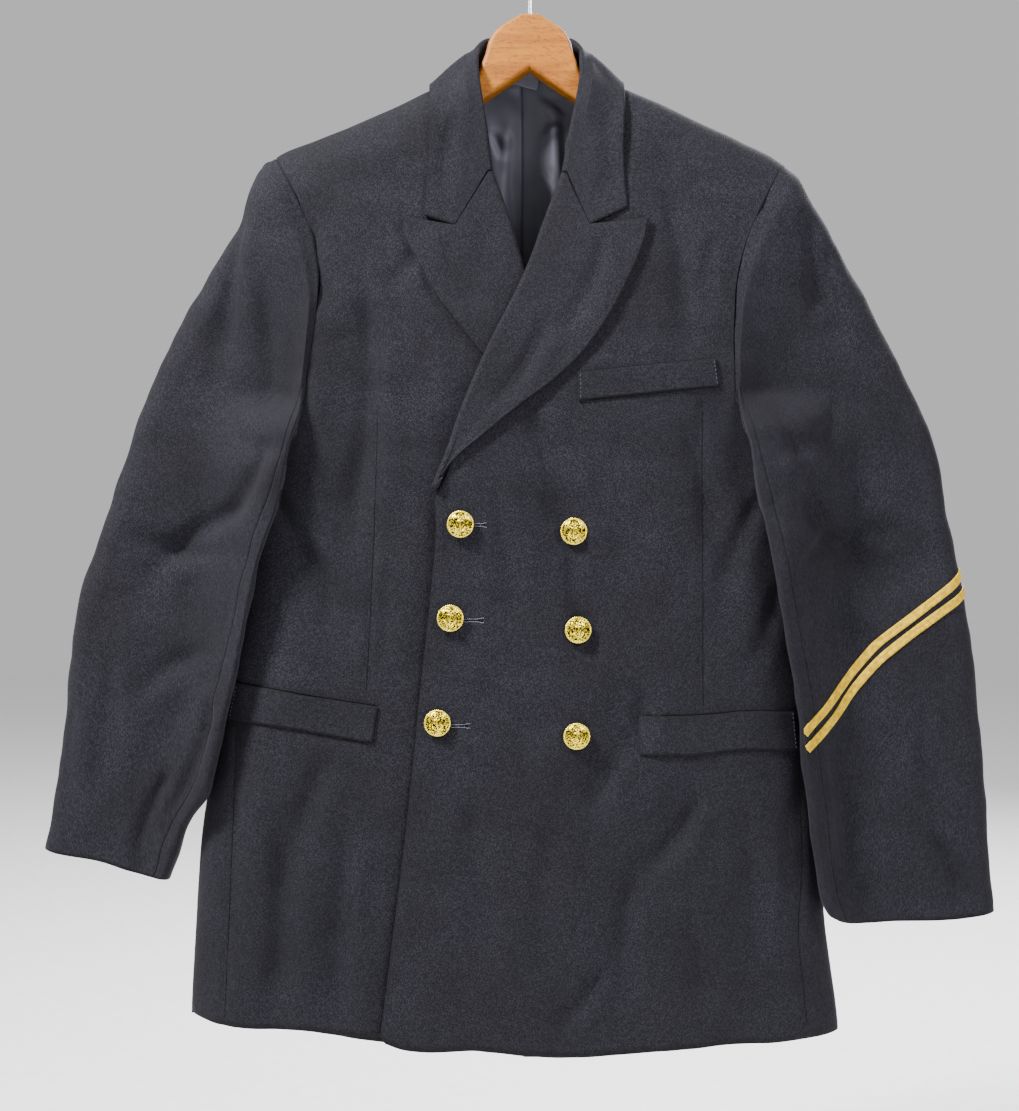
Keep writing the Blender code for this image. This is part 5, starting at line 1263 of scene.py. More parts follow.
# Where the front half, and the back half, begin to come forward on to the body, above the underarm.
FORWARD_FROM, BACKWARD_FROM = 0.05, 0.005
LIE_OUT, LIE_FADE = 0.035, 0.07  # how far beside the body a sleeve still lies on it, and its fade
BEHIND_FROM = 0.06  # how far above the underarm the back half begins to keep off the back
TURN_FROM, TURN_FADE = 0.012, 0.042  # where the front begins to fold over the hidden half
SEAM_COLUMNS_IN_FRONT = 3  # the sleeve's front seam lies this many columns short of its inner fold
FOLD_NODES = np.array((0.93, 0.98))
FRONT_TURN, FRONT_TURN_FADE = 0.35, 0.7  # how far round a sleeve the front's creases go
BEHIND_WIDE, BEHIND_DEEP = 1.1, 0.8  # creases of the back half beside those of the front
SEAM_SINK = 0.0012  # how far a sleeve's top edge is pulled in along its seam
EDGE_SINK = 0.00048  # the same along a sleeve's own two seams
CALM_TOP = 0.05  # share of the length over which the creases begin
CALM_CUFF, CUFF_FADE = 1.02, 0.04  # where they would end past the cuff, and over what
TUCK_ROWS = 4  # rows over which a sleeve's top edge shows the way that it goes in
TUCK_IN = 0.00336  # how far it goes in under the edge of the armhole
HALF_PULL = 0.00018  # half a gap and the turned edge, along the two seams of a sleeve
SLEEVE_FOLDS = metres({
    LEFT: (
        (232, -250, 250, -330, 14, 3.5), (205, -470, 300, -540, 22, 4), (235, -560, 330, -520, 18, 3),
        (335, -760, 362, -812, 12, 2.5),
    ),
    RIGHT: (
        (-246, -245, -258, -370, 14, 4), (-230, -480, -320, -540, 22, 4), (-268, -640, -300, -735, 14, -3),
        (-300, -735, -326, -785, 12, 3),
    ),
})
thickness, fold_thickness = through(SLEEVE_FULLNESS, 1), through(SLEEVE_FULLNESS, 2)


def armhole_seams(side):
    """A sleeve's seam read from the shoulder: down its front, and down its back and on underneath."""
    seam = curve(ARMHOLE[side])
    hidden_part = share_of(ARMHOLE[side], FOLD_POINT)
    back_half = curve([(side * x, z) for x, z in ARMHOLE_BACK])

    def front_seam(t):
        return seam(1 - np.asarray(t, float) * (1 - hidden_part))

    def back_seam(t):
        t = np.asarray(t, float)
        up_back = back_half(1 - np.clip(t / BACK_SHARE, 0, 1))
        under = seam(np.clip((t - BACK_SHARE) / (1 - BACK_SHARE), 0, 1) * hidden_part)
        return np.where((t <= BACK_SHARE)[..., None], up_back, under)

    return front_seam, back_seam


def on_body(x, z, side, facing):
    """How far a sleeve has to come forward to lie on the body, from 0 to 1."""
    start = Z_UNDERARM + (FORWARD_FROM if facing[Y] < 0 else BACKWARD_FROM)
    beside_body = smooth((side_x(z, side) + LIE_OUT - np.abs(x)) / LIE_FADE)
    return beside_body * smooth((start - z) / LIE_FADE)


def sleeve_face(side, seam, facing, across):
    """Outer points of the front or back half of a sleeve, from its outer edge to its inner fold."""
    outer, inner = curve(SLEEVE_OUTER[side]), curve(SLEEVE_INNER[side])
    share = SLEEVE_ROWS[:, None]
    full, full_at_fold = thickness(share), fold_thickness(share)
    width = np.linalg.norm(outer(SLEEVE_ROWS) - inner(SLEEVE_ROWS), axis=1)[:, None]
    flat = coons(seam, curve(CUFF[side]), outer, inner, across, SLEEVE_ROWS)
    x, z = flat[..., 0], flat[..., 1]
    lies = on_body(x, z, side, facing)
    middle = SLEEVE_REST_Y - (SLEEVE_REST_Y + depth_front(z) + SLEEVE_CLEAR + full_at_fold) * lies
    round_off = rounding(across[None] * width, full) * rounding((1 - across[None]) * width, full_at_fold)
    free = middle + facing[Y] * (full * (1 - lies) + full_at_fold * lies) * round_off
    ease, started = smooth(share / SLEEVE_EASE), smooth(share / SLEEVE_START)
    clear = (SLEEVE_CLEAR + SIDE_ROOM * (1 - body_round(x, z))) * started
    over_body = np.abs(x) < side_x(z, side) + SLEEVE_CLEAR
    on_front = front_y(x, z, side)
    if facing[Y] < 0:
        free = free + soft_folds(SLEEVE_FOLDS[side], x, z) * round_off
        y = (on_front - SLEEVE_LEAVES * started) * (1 - ease) + free * ease
        # The front lies in front of the hidden half, folded over it along the inner edge.
        turned = 2 * full_at_fold * rounding((1 - across) * width, full_at_fold) * started
        below = smooth((ARMHOLE[side][FOLD_POINT][1] + TURN_FROM - z) / TURN_FADE) * over_body
        y = y + (np.minimum(y, on_front - clear - turned) - y) * below
    else:
        hidden_half = across[None] > BACK_SHARE
        held = np.where(hidden_half, on_front - SLEEVE_LEAVES * started, back_y(x, z))
        y = held * (1 - ease) + free * ease
        behind = ~hidden_half & over_body & (z < Z_UNDERARM + BEHIND_FROM)
        y = np.where(behind, np.maximum(y, back_y(x, z) + clear), y)
        y = np.where(hidden_half & over_body, np.minimum(y, on_front - clear), y)
    return stacked(x, y, z)


def sleeve_ring(side):
    """Outer points all round a sleeve and the way that each faces."""
    front_seam, back_seam = armhole_seams(side)
    hidden_across = BACK_SHARE + (1 - BACK_SHARE) * np.r_[SEAM_HIDDEN, FOLD_NODES, 1.0]
    back_across = fine(np.r_[SEAM_BACK * BACK_SHARE, hidden_across], FINE_ROUND)
    front = sleeve_face(side, front_seam, FORWARD, fine(SEAM_FRONT, FINE_ROUND))
    back = sleeve_face(side, back_seam, BACKWARD, back_across)
    ring = np.concatenate([front, back[:, ::-1][:, 1:-1]], axis=1)
    # The ring is closed for the normals, then cut at the outer seam and the inner seam.
    closed = np.concatenate([ring[:, -1:], ring, ring[:, :1]], axis=1)
    normal = normals(closed)[:, 1:-1]
    if np.sum(normal * (ring - ring.mean(axis=1, keepdims=True))) < 0:
        normal = -normal
    # The first row stands clear of the armhole, square to the seam.
    away = unit(np.cross(normal[0], np.gradient(closed[0], axis=0)[1:-1]))
    away = away * np.sign(np.sum(away * (ring[1] - ring[0]), axis=1, keepdims=True))
    ring[0] += away * SLEEVE_SEAM
    return ring, normal


def seen_share(normal):
    """How far a place of a sleeve has the front half's creases, from 0 to 1."""
    return smooth((FRONT_TURN - normal[..., Y]) / FRONT_TURN_FADE)


def sleeve(side, wool):
    ring, normal = sleeve_ring(side)
    x, z = ring[..., X], ring[..., Z]
    in_front = seen_share(normal)
    table = SLEEVE_CREASES[side]
    behind = [(*ends, -bend, width * BEHIND_WIDE, depth * BEHIND_DEEP)
              for *ends, bend, width, depth in table[::2]]
    down = np.linspace(0, 1, len(ring))[:, None]
    calm = smooth(down / CALM_TOP) * smooth((CALM_CUFF - down) / CUFF_FADE)
    height = creases(table, x, z) * in_front + creases(behind, x, z) * (1 - in_front) + uneven(x, z)
    ring = ring + normal * (height * calm)[..., None]
    # Its top edge goes in under the edges of the armhole.
    ring[0] += unit(ring[0] - ring[TUCK_ROWS]) * TUCK_IN - normal[0] * SEAM_SINK
    inside = ring - normal * WALL
    cut = (len(SEAM_FRONT) - 1 - SEAM_COLUMNS_IN_FRONT) * FINE_ROUND
    for half, columns in (("top", np.r_[:cut + 1]), ("under", np.r_[cut:ring.shape[1], 0])):
        outer, inner, facing = ring[:, columns], inside[:, columns], normal[:, columns]
        # Each half ends half a gap short of the two seams, where its edge is turned in.
        for edge, neighbour in ((0, 1), (-1, -2)):
            pull = unit(outer[:, neighbour] - outer[:, edge]) * HALF_PULL
            outer[:, edge] += pull - facing[:, edge] * EDGE_SINK
            inner[:, edge] += pull
        turn = right_way(outer, facing)
        name = SIDE_NAMES[side]
        piece = shell(f"sleeve_{name}_{half}", outer[turn], inner[turn], wool, sewn_sides=True)
        declare(outer)


STITCH_LONG = 0.0022  # real stitches are 2.5 mm with a gap of 0.5 mm
STITCH_STEP = 0.0034
STITCH_RADIUS = 0.0003
STITCH_PROUD = 0.0001  # how far the middle of a thread lies over the cloth that it is sewn into
LINE_OUT = -0.0001  # how far a seam's line of painted shade stands out of its hollow
LINE_RADIUS = 0.00045
LINE_LONG = 0.006  # painted shade drawn as one dark line, because its stitches lie hidden in the fold
LINE_STEP = 0.0036


def stitches_along(points, long, step):
    """Pairs of ends of the stitches along a line of points."""
    points = np.array(points)
    length = lengths(points)
    starts = np.arange(step / 2, length[-1] - long, step)
    ends = [np.stack([np.interp(at, length, column) for column in points.T], axis=-1)
            for at in (starts, starts + long)]
    return zip(*ends)


def sew(name, lines, thread, radius=STITCH_RADIUS, long=STITCH_LONG, step=STITCH_STEP):
    """All the stitches of some lines as one piece, each a short bead of thread; the same beads also draw
    lines of painted shade.
    """
    mesh = bmesh.new()
    for points in lines:
        for a, b in stitches_along(points, long, step):
            a, b = Vector(a), Vector(b)
            turn = (b - a).normalized().to_track_quat("Z", "Y").to_matrix().to_4x4()
            scale = Matrix.Diagonal((radius, radius, (b - a).length / 2, 1))
            bmesh.ops.create_icosphere(mesh, subdivisions=1, radius=1.0,
                                       matrix=Matrix.Translation((a + b) / 2) @ turn @ scale)
    made = bpy.data.meshes.new(name)
    mesh.to_mesh(made)
    mesh.free()
    made.shade_smooth()
    dressed(name, made, thread)


def seam_shade_lines(thread):
    """The darts' and long seams' stitched lines, drawn as dark lines of painted shade sunk in their hollows.
    """
    for name, table, panel, facing in (("front", FRONT_SEAMS, detailed_front, FORWARD),
                                       ("back", BACK_SEAMS, detailed_back, BACKWARD)):
        for side, label in SIDE_NAMES.items():
            point = points_on(panel(side))
            lines = [point(curve(places)(np.linspace(0, 1, 90))) + facing * LINE_OUT
                     for places, _ in table if places[0][0] * side > 0]
            sew(f"{name}_{label}_seams", lines, thread, radius=LINE_RADIUS, long=LINE_LONG, step=LINE_STEP)


# Welts on the fronts: name, side of the front, top edge, bottom edge, columns that are sewn down.
WELTS = (
    ("breast_welt", LEFT, ((0.0389, -0.3726), (0.095, -0.3664), (0.1513, -0.3606)),
     ((0.0393, -0.3948), (0.0965, -0.3886), (0.1542, -0.3825)), (1, -2)),
    ("pocket_welt_left", LEFT, ((0.09, -0.6528), (0.1465, -0.6512), (0.1733, -0.6487), (0.2187, -0.6502)),
     ((0.09, -0.6841), (0.1363, -0.684), (0.1714, -0.6799), (0.2218, -0.682)), (-2,)),
    ("pocket_welt_right", RIGHT,
     ((-0.2438, -0.6262), (-0.2097, -0.6309), (-0.172, -0.6374), (-0.1247, -0.6446)),
     ((-0.2504, -0.6558), (-0.1979, -0.6619), (-0.165, -0.668), (-0.1294, -0.6741)), (1,)),
)
WELT_WALL = 0.0015
WELT_REST = 0.0005  # from a front to the welt that lies on it
OPEN_WELT = "pocket_welt_right"
MOUTH_GAPE = 0.0022  # how far that pocket's mouth stands open
GAPE_FROM, GAPE_OVER = 0.08, 0.84  # shares of its length: where it begins to gape, and over what
GAPE_EVEN, GAPE_WAVE = 0.7, 0.3  # the even part of its gape, and the part that comes and goes
MOUTH_HALF = 0.0007  # half width of the painted shadow in a mouth
MOUTH_STEP = 0.003
MOUTH_SHARE = 0.35  # how far above the welt's edge it lies, in rows of the welt


def gape(along, up):
    """How far an open pocket's welt stands off the front, in two waves along its mouth."""
    mouth = np.sin(math.pi * np.clip((along - GAPE_FROM) / GAPE_OVER, 0, 1)) ** 2
    return MOUTH_GAPE * (mouth * (GAPE_EVEN + GAPE_WAVE * np.cos(along * math.tau * 2)))[None] * up ** 2


def welts(wool, thread, shadow):
    along = np.linspace(0, 1, 61)
    up = np.linspace(0, 1, 15)[:, None]
    for name, side, top, bottom, sewn in WELTS:
        point = points_on(detailed_front(side))
        places = curve(bottom)(along)[None] * (1 - up[..., None]) + curve(top)(along)[None] * up[..., None]
        grid = smoothed(point(places).reshape(places.shape[:2] + (3,)), 3)
        lift = np.full(grid.shape[:2], WELT_REST + WELT_WALL)
        if name == OPEN_WELT:
            lift = lift + gape(along, up)
        normal = outward(grid, FORWARD)
        cloth(name, grid + normal * lift[..., None], wool, FORWARD, WELT_WALL)
        # Painted shadow: a dark line over its top edge, where the pocket's mouth lies, and down its ends,
        # where they are drawn into the front.
        rim = [grid[-1] + (grid[-1] - grid[-2]) * MOUTH_SHARE, grid[:, 0], grid[:, -1]]
        sew(name + "_mouth_shadow", rim, shadow, radius=MOUTH_HALF, long=LINE_LONG, step=MOUTH_STEP)
        face = grid + normal * (lift + STITCH_PROUD)[..., None]
        sew(name + "_stitches", [face[:, column] for column in sewn], thread)


# Buttonholes: from the inner end to the outer end of each slit, as seen.
BUTTONHOLES = metres((
    (-45, -495.7, -35.2, -496), (-54.5, -573.8, -37.4, -573.8), (-65, -660.4, -48.8, -660.4),
))
HOLE_HALF = 0.0015
HOLE_INNER, HOLE_GAINS = 0.7, 0.5  # shares of that at the inner end, and gained towards the outer end
GAINS_FROM, GAINS_OVER = 0.6, 0.3  # shares of its length where it begins to gain, and over what
SLIT_HALF, SLIT_DEPTH, SLIT_LONG, SLIT_STEP = 0.0011, 0.0005, 0.004, 0.0015
WORKED_RADIUS, WORKED_LONG, WORKED_STEP, WORKED_PROUD = 0.00042, 0.0005, 0.0008, 0.0002


def buttonholes(thread, shadow):
    """Worked buttonholes: a slit, wider at its outer end, with close stitches over both its edges; the slit
    is a dark line of painted shade.
    """
    point = points_on(detailed_front(LEFT))
    edges, slits = [], []
    along = np.linspace(0, 1, 26)
    for x0, z0, x1, z1 in BUTTONHOLES:
        middle = line((x0, z0), (x1, z1))(along)
        for side in (-1, 1):
            open_by = side * HOLE_HALF * (HOLE_INNER + HOLE_GAINS * smooth((along - GAINS_FROM) / GAINS_OVER))
            edges.append(point(middle + np.outer(open_by, (0, 1))) + FORWARD * WORKED_PROUD)
        # The slit's dark line is painted shade, sunk a little behind the front.
        slits.append(point(middle) - FORWARD * SLIT_DEPTH)
    sew("buttonhole_stitches", edges, thread, radius=WORKED_RADIUS, long=WORKED_LONG, step=WORKED_STEP)
    sew("buttonhole_slit_shadows", slits, shadow, radius=SLIT_HALF, long=SLIT_LONG, step=SLIT_STEP)


# Service stripes: middle lines on the wearer's left sleeve, from its inner fold to its outer edge.
STRIPES = metres({
    "service_stripe_upper": ((223, -665.5), (244.2, -646.2), (266.2, -620.2), (288.3, -595.5),
                             (321.1, -569.9), (351.6, -546)),
    "service_stripe_lower": ((225, -678.5), (248, -659.5), (269.5, -631.9), (292.1, -607.1),
                             (321.1, -583.4), (352.6, -560.7)),
})
STRIPE_HALF = 0.0035
STRIPE_WALL = 0.001
STRIPE_REST = 0.0003
START_COLUMNS = 1.3  # how far from the inner fold it starts, in columns
WRAP_COLUMNS = 1.6  # how far a stripe goes on round the outer edge, in the sleeve's own columns
SLOPE_POINTS = 9  # last points of a stripe's line that give the way that it goes on
RIB_LONG, RIB_HIGH = 0.0024, 0.00012  # ribs of the lace: real ones are finer, and wouldn't show
MIDDLE_WIDE, MIDDLE_DEEP = 0.0004, 0.00035
SELVEDGE_WIDE, SELVEDGE_DEEP = 0.0005, 0.0003


def braided(grid, facing):
    """A stripe's face: woven ribs across it, a sunk line of stitches along its middle, and thin edges."""
    across = reach(grid, 0)
    middle = np.exp(-((across - across[-1:] / 2) / MIDDLE_WIDE) ** 2)
    edges = np.exp(-(np.minimum(across, across[-1:] - across) / SELVEDGE_WIDE) ** 2)
    ribs = np.sin(reach(grid, 1) * math.tau / RIB_LONG)
    return grid + facing * (RIB_HIGH * ribs - MIDDLE_DEEP * middle - SELVEDGE_DEEP * edges)[..., None]


def stripe_line(find, places):
    """Rows and columns of the sleeve under a line, which goes straight on round the outer edge."""
    found = find(places)
    last, before = found[-1], found[-1 - SLOPE_POINTS]
    slope = (last - before) / (last[1] - before[1])
    onward = np.linspace(last[1], -WRAP_COLUMNS * FINE_ROUND, 22)[1:]
    route = np.vstack([found, last + slope * (onward - last[1])[:, None]])
    return smoothed(np.stack([route, route, route]), 4)[1]


def stripe_spots(find, places):
    """Rows and columns of the sleeve under a whole stripe, close enough to show its ribs."""
    middle = curve(places)(np.linspace(0, 1, 60))
    square = beside(middle, -1)
    low, mid, high = (stripe_line(find, middle + square * across)
                      for across in (-STRIPE_HALF, 0.0, STRIPE_HALF))
    spots = np.stack([low * (1 - 2 * t) + mid * 2 * t if t < 0.5 else mid * (2 - 2 * t) + high * (2 * t - 1)
                      for t in np.linspace(0, 1, 9)])
    steps = np.arange(spots.shape[1])
    dense = np.linspace(0, spots.shape[1] - 1, 420)
    return np.stack([np.stack([np.interp(dense, steps, part) for part in row.T], axis=-1) for row in spots])


def stripes(lace):
    ring, normal = sleeve_ring(LEFT)
    x, z = ring[..., X], ring[..., Z]
    height = creases(SLEEVE_CREASES[LEFT], x, z) * seen_share(normal) + uneven(x, z)
    ring = ring + normal * height[..., None]
    find = finder(ring, (len(SEAM_FRONT) - 1 - START_COLUMNS) * FINE_ROUND)
    for name, places in STRIPES.items():
        spots = stripe_spots(find, places)
        facing = unit(between(normal, spots[..., 0], spots[..., 1]))
        base = between(ring, spots[..., 0], spots[..., 1]) + facing * (STRIPE_REST + STRIPE_WALL)
        outer, inner = braided(base, facing), base - facing * STRIPE_WALL
        if np.sum(normals(outer) * facing) < 0:
            outer, inner = outer[::-1], inner[::-1]
        shell(name, outer, inner, lace)


# Creases of the lining.
LINING_CREASES = metres((
    (20, -130, 12, -300, 40, 6, 2.2), (40, -170, 30, -330, -50, 5.5, 1.8),
    (-18, -150, -12, -290, -40, 5.5, 2), (-38, -150, -28, -240, 50, 5, 1.4),
    (8, -210, 4, -330, 30, 4.5, 1.2),
    # the short folds across the two panels
    (-37, -149, -18, -168, 100, 4.2, 1.4), (-36, -160, -19, -184, -80, 3.8, 1.1),
    (9, -127, 34, -144, -100, 4.2, 1.4), (10, -162, 31, -152, 100, 4, 1.1),
    (12, -190, 27, -210, -80, 4.2, 1),
))
LINING_WALL = 0.001
LINING_IN = 0.0042  # from the back's outer face to the lining
LINING_SEWN, LINING_SEWN_WIDE = 0.0008, 0.0016  # how far its middle seam is drawn in, and over what width
LINING_TOP = metres((
    # x from the middle, z
    (0, -108), (22, -109.5), (45, -118.5), (60, -136), (90, -150), (120, -164),
))
LINING_LOW = -0.45


def lining(satin):
    """The upper back's lining, which follows the back's own folds; its own only go away from the back."""
    top = through(LINING_TOP)
    out = np.linspace(GAP, LINING_TOP[-1][0], 48)
    share = np.linspace(0, 1, 110)[:, None]
    z = LINING_LOW * (1 - share) + top(out)[None] * share
    for side, name in SIDE_NAMES.items():
        x = np.broadcast_to(MIDDLE_BACK_X * (1 - out / out[-1]) + out * side, z.shape)
        grid = stacked(x, back_y(x, z), z)
        follows = (creases(BACK_CREASES, x, z) + uneven(x, z)) * body_round(x, z)
        sewn = LINING_SEWN * np.exp(-(out / LINING_SEWN_WIDE) ** 2)
        own = np.maximum(LINING_SEWN - sewn - creases(LINING_CREASES, x, z), 0)
        grid = grid - outward(grid, BACKWARD) * (LINING_IN + own - follows)[..., None]
        grid[:, 0, X] = x[:, 0]
        cloth("lining_" + name, grid, satin, BACKWARD, LINING_WALL,
              square_edges=(("inner", X),))


LABEL_MIDDLE = (-0.0035, -0.11)
LABEL_HALF = (0.012, 0.008)
LABEL_TILT = math.radians(-16)
LABEL_Y = 0.0208
LABEL_LEAN = 0.19  # how much further back it lies for each metre up
LABEL_BOW = 0.0004


def label(satin, thread):
    """The bare label under the neck, sewn on at its two ends."""
    u, v = np.meshgrid(np.linspace(-1, 1, 24) * LABEL_HALF[0], np.linspace(-1, 1, 18) * LABEL_HALF[1])
    rise = u * math.sin(LABEL_TILT) + v * math.cos(LABEL_TILT)
    x = LABEL_MIDDLE[0] + u * math.cos(LABEL_TILT) - v * math.sin(LABEL_TILT)
    y = LABEL_Y + rise * LABEL_LEAN + LABEL_BOW * np.cos(u / LABEL_HALF[0] * math.pi)
    grid = stacked(x, y, LABEL_MIDDLE[1] + rise)
    cloth("neck_label", grid, satin, FORWARD, LINING_WALL)
    sew("label_stitches", [grid[:, column] + FORWARD * STITCH_PROUD for column in (1, -2)], thread)


def edited(operator, shape, **settings):
    """Adds a primitive and shapes its points in edit mode."""
    bpy.ops.object.select_all(action="DESELECT")
    operator(**settings)
    thing = bpy.context.object
    bpy.ops.object.mode_set(mode="EDIT")
    mesh = bmesh.from_edit_mesh(thing.data)
    for vertex in mesh.verts:
        vertex.co = Vector(shape(vertex.co.copy()))
    bmesh.update_edit_mesh(thing.data)
    bpy.ops.object.mode_set(mode="OBJECT")
    return thing


BUTTON_RADIUS = 0.0111
BUTTON_BODY = 0.0102  # radius of the dome and of the middle of the cord round it
BUTTON_EDGE = 0.0028  # height of the dome's edge
BUTTON_RISE = 0.0042  # the dome over its edge
BUTTON_BACK, BUTTON_BACK_BULGE = 0.0026, 0.0006
CORD_HALF, CORD_HEIGHT = 0.00085, 0.0032
CORD_SWELL = 0.22  # how much its strands stand out
ROPE_TURNS = 44  # strands of the cord round the rim
SHANK_HALF, SHANK_RADIUS = 0.0012, 0.0028
# The anchor's upright and crossbar: middle height up the button, half width, half length.
ANCHOR_BARS = ((-0.0006, 0.00085, 0.0052), (0.003, 0.0031, 0.0008))
BAR_HIGH, BAR_BLUNT = 0.0011, 0.6
ANCHOR_RING = (0.0056, 0.0012, 0.00045)  # height up the button, radius, wire
ANCHOR_ARM = 0.0044  # radius of the arc of the arms
ARMS_MIDDLE = -0.001  # height of the middle of that arc
ARM_SPREAD, FLUKE_AT = 68, 66  # how far round the arc, in degrees, the arms and the flukes' tips go
ARM_WIDE, ARM_HIGH = 0.00075, 0.001
ARM_TAPER = 0.45
FLUKE, FLUKE_HIGH = 0.0014, 0.001
FLUKE_SHIFT = (0.0002, 0.0004)  # how far a fluke lies in from the arm's end and up from it
TUBE = 0.1  # the tube of a ring primitive whose own radius is 1
BUTTON_REST = 0.0006  # from the front to the foot of the shank
BUTTON_SPINS = (4, -7, 9, -5, 6, -3)  # each button was sewn on at its own slight turn, in degrees
NORMAL_STEP = 0.004
BUTTON_PLACES = metres((
    (-56.7, -495), (-65.1, -571.6), (-75.8, -657.5), (35.8, -500.6), (38.9, -581.6), (38.1, -668.4),
))


def dome_height(radius):
    t = min(radius / BUTTON_RADIUS, 1.0)
    return BUTTON_EDGE + BUTTON_RISE * (1 - t * t)


def on_dome(x, y, z):
    """Lays a flat shape over the button's dome."""
    return x, y, dome_height(math.hypot(x, y)) + z


def dome(co):
    x, y = co.x * BUTTON_BODY, co.y * BUTTON_BODY
    return x, y, dome_height(math.hypot(x, y)) if co.z > 0 else BUTTON_BACK + co.z * BUTTON_BACK_BULGE


def corded(co):
    """A ring's tube twisted into strands, round the edge of the dome."""
    angle = math.atan2(co.y, co.x)
    turn = math.atan2(co.z, math.hypot(co.x, co.y) - 1.0)
    half = CORD_HALF * (1 + CORD_SWELL * math.sin(angle * ROPE_TURNS + turn))
    radius = BUTTON_BODY + half * math.cos(turn)
    return radius * math.cos(angle), radius * math.sin(angle), CORD_HEIGHT + half * math.sin(turn)


def shank(co):
    return co.x * SHANK_RADIUS, co.y * SHANK_RADIUS, SHANK_HALF + co.z * SHANK_HALF


def bar(middle_y, half_width, half_length):
    """Shapes a ball into a bar of the anchor with blunt ends."""
    def shape(co):
        y = middle_y + math.copysign(abs(co.y) ** BAR_BLUNT, co.y) * half_length
        return on_dome(co.x * half_width, y, co.z * BAR_HIGH)

    return shape


def shackle(co):
    return on_dome(co.x, co.y + ANCHOR_RING[0], co.z)


def arms(co):
    """A whole ring drawn together into the anchor's lower arc, thinner towards its two ends."""
    share = math.atan2(co.y, co.x) / math.pi
    at = math.radians(-90 + share * ARM_SPREAD)
    out = (math.hypot(co.x, co.y) - 1.0) / TUBE
    radius = ANCHOR_ARM + out * ARM_WIDE * (1 - ARM_TAPER * abs(share))
    return on_dome(radius * math.cos(at), ARMS_MIDDLE + radius * math.sin(at), co.z / TUBE * ARM_HIGH)


def fluke(side):
    """Shapes a cone into the point at one end of the arms."""
    at = math.radians(-90 + side * FLUKE_AT)
    foot_x = ANCHOR_ARM * math.cos(at) - side * FLUKE_SHIFT[0]
    foot_y = ARMS_MIDDLE + ANCHOR_ARM * math.sin(at) + FLUKE_SHIFT[1]
    return lambda co: on_dome(foot_x + co.x * FLUKE, foot_y + co.z * FLUKE, co.y * FLUKE_HIGH)


def button_parts():
    """One button about its own middle: dome, corded rim, shank and the anchor's parts."""
    add = bpy.ops.mesh
    ball, torus, rod, cone = (add.primitive_uv_sphere_add, add.primitive_torus_add,
                              add.primitive_cylinder_add, add.primitive_cone_add)
    thin = {"major_radius": 1.0, "minor_radius": TUBE}
    parts = [edited(ball, dome, segments=64, ring_count=40, radius=1.0),
             edited(torus, corded, major_segments=176, minor_segments=10, **thin),
             edited(rod, shank, vertices=24, radius=1.0, depth=2.0)]
    parts += [edited(ball, bar(*sizes), segments=12, ring_count=14, radius=1.0) for sizes in ANCHOR_BARS]
    parts += [edited(torus, shackle, major_segments=24, minor_segments=8,
                     major_radius=ANCHOR_RING[1], minor_radius=ANCHOR_RING[2]),
              edited(torus, arms, major_segments=47, minor_segments=8, **thin)]
    parts += [edited(cone, fluke(side), vertices=12, radius1=1.0, radius2=0.0, depth=2.0)
              for side in (LEFT, RIGHT)]
    return parts


def one_button(raised_gilt, ground_gilt):
    """The mesh of a whole button, its dome in the darker gilt."""
    parts = button_parts()
    bpy.ops.object.select_all(action="DESELECT")
    for part in parts:
        part.data.materials.append(ground_gilt if part == parts[0] else raised_gilt)
        part.select_set(True)
    bpy.context.view_layer.objects.active = parts[0]
    bpy.ops.object.join()
    pattern = bpy.context.object.data
    pattern.shade_smooth()
    bpy.data.objects.remove(bpy.context.object)
    return pattern


def front_normal(x, z):
    """The way that the upper front faces at a place, its fine creases left out."""
    over_x = (front_y(x + NORMAL_STEP, z, LEFT) - front_y(x - NORMAL_STEP, z, LEFT)) / (2 * NORMAL_STEP)
    over_z = (front_y(x, z + NORMAL_STEP, LEFT) - front_y(x, z - NORMAL_STEP, LEFT)) / (2 * NORMAL_STEP)
    return Vector((float(over_x), -1.0, float(over_z))).normalized()


def buttons(raised_gilt, ground_gilt):
    pattern = one_button(raised_gilt, ground_gilt)
    point = points_on(detailed_front(LEFT))
    for number, ((x, z), spin) in enumerate(zip(BUTTON_PLACES, BUTTON_SPINS), 1):
        facing = front_normal(x, z)
        foot = Vector(point((x, z))[0]) + facing * BUTTON_REST
        turn = facing.to_track_quat("Z", "Y").to_matrix().to_4x4()
        mesh = pattern.copy()
        mesh.name = f"button_{number}_stamped"
        mesh.transform(Matrix.Translation(foot) @ turn @ Matrix.Rotation(math.radians(spin), 4, "Z"))
        dressed(mesh.name, mesh, None, f"button_{number}")


# Hanger: the wood's outline on the wearer's left, and the hook.
WOOD_HALF = 0.0095
WOOD_BEVEL = 0.004
UNDER_RIDGE = 0.006  # from the shoulder line of the cloth to the top of the arm
ARM_START, ARM_STOP = 0.078, 0.188  # where the arm's top edge follows the shoulders
ARM_END = 0.196
ARM_TIP = ((0.001, -0.005), (0.003, -0.012))  # x beyond the arm's end and z from its top there
WOOD_NECK = metres((
    # x, z of the top edge, from the hook to where the arm meets the shoulders
    (7, -64.6), (17.3, -70.4), (27, -77.2), (32.5, -83.9), (35, -89.7), (36.5, -96), (39.5, -104.5),
    (43.5, -115.5), (50, -127.5), (60, -134.5),
))
WOOD_UNDER = metres((
    # x, z of the lower edge, from the arm's end to the middle
    (195, -204), (150, -190), (100, -170), (70, -156), (38.8, -137.8),
))
WOOD_APEX = (0.0, -0.1108)
SHARP_ANGLE = math.radians(35)
WIRE = 0.0018
HOOK_INNER = 0.019
HOOK_TURN = (208, -52)  # the hook's arc from its tip to its neck, in degrees
HOOK_FOOT = metres((
    # x, z, from the arc's end down into the wood
    (4, -38.8), (1.2, -42.5), (0, -47.5), (0, -55), (0, -63.8),
))


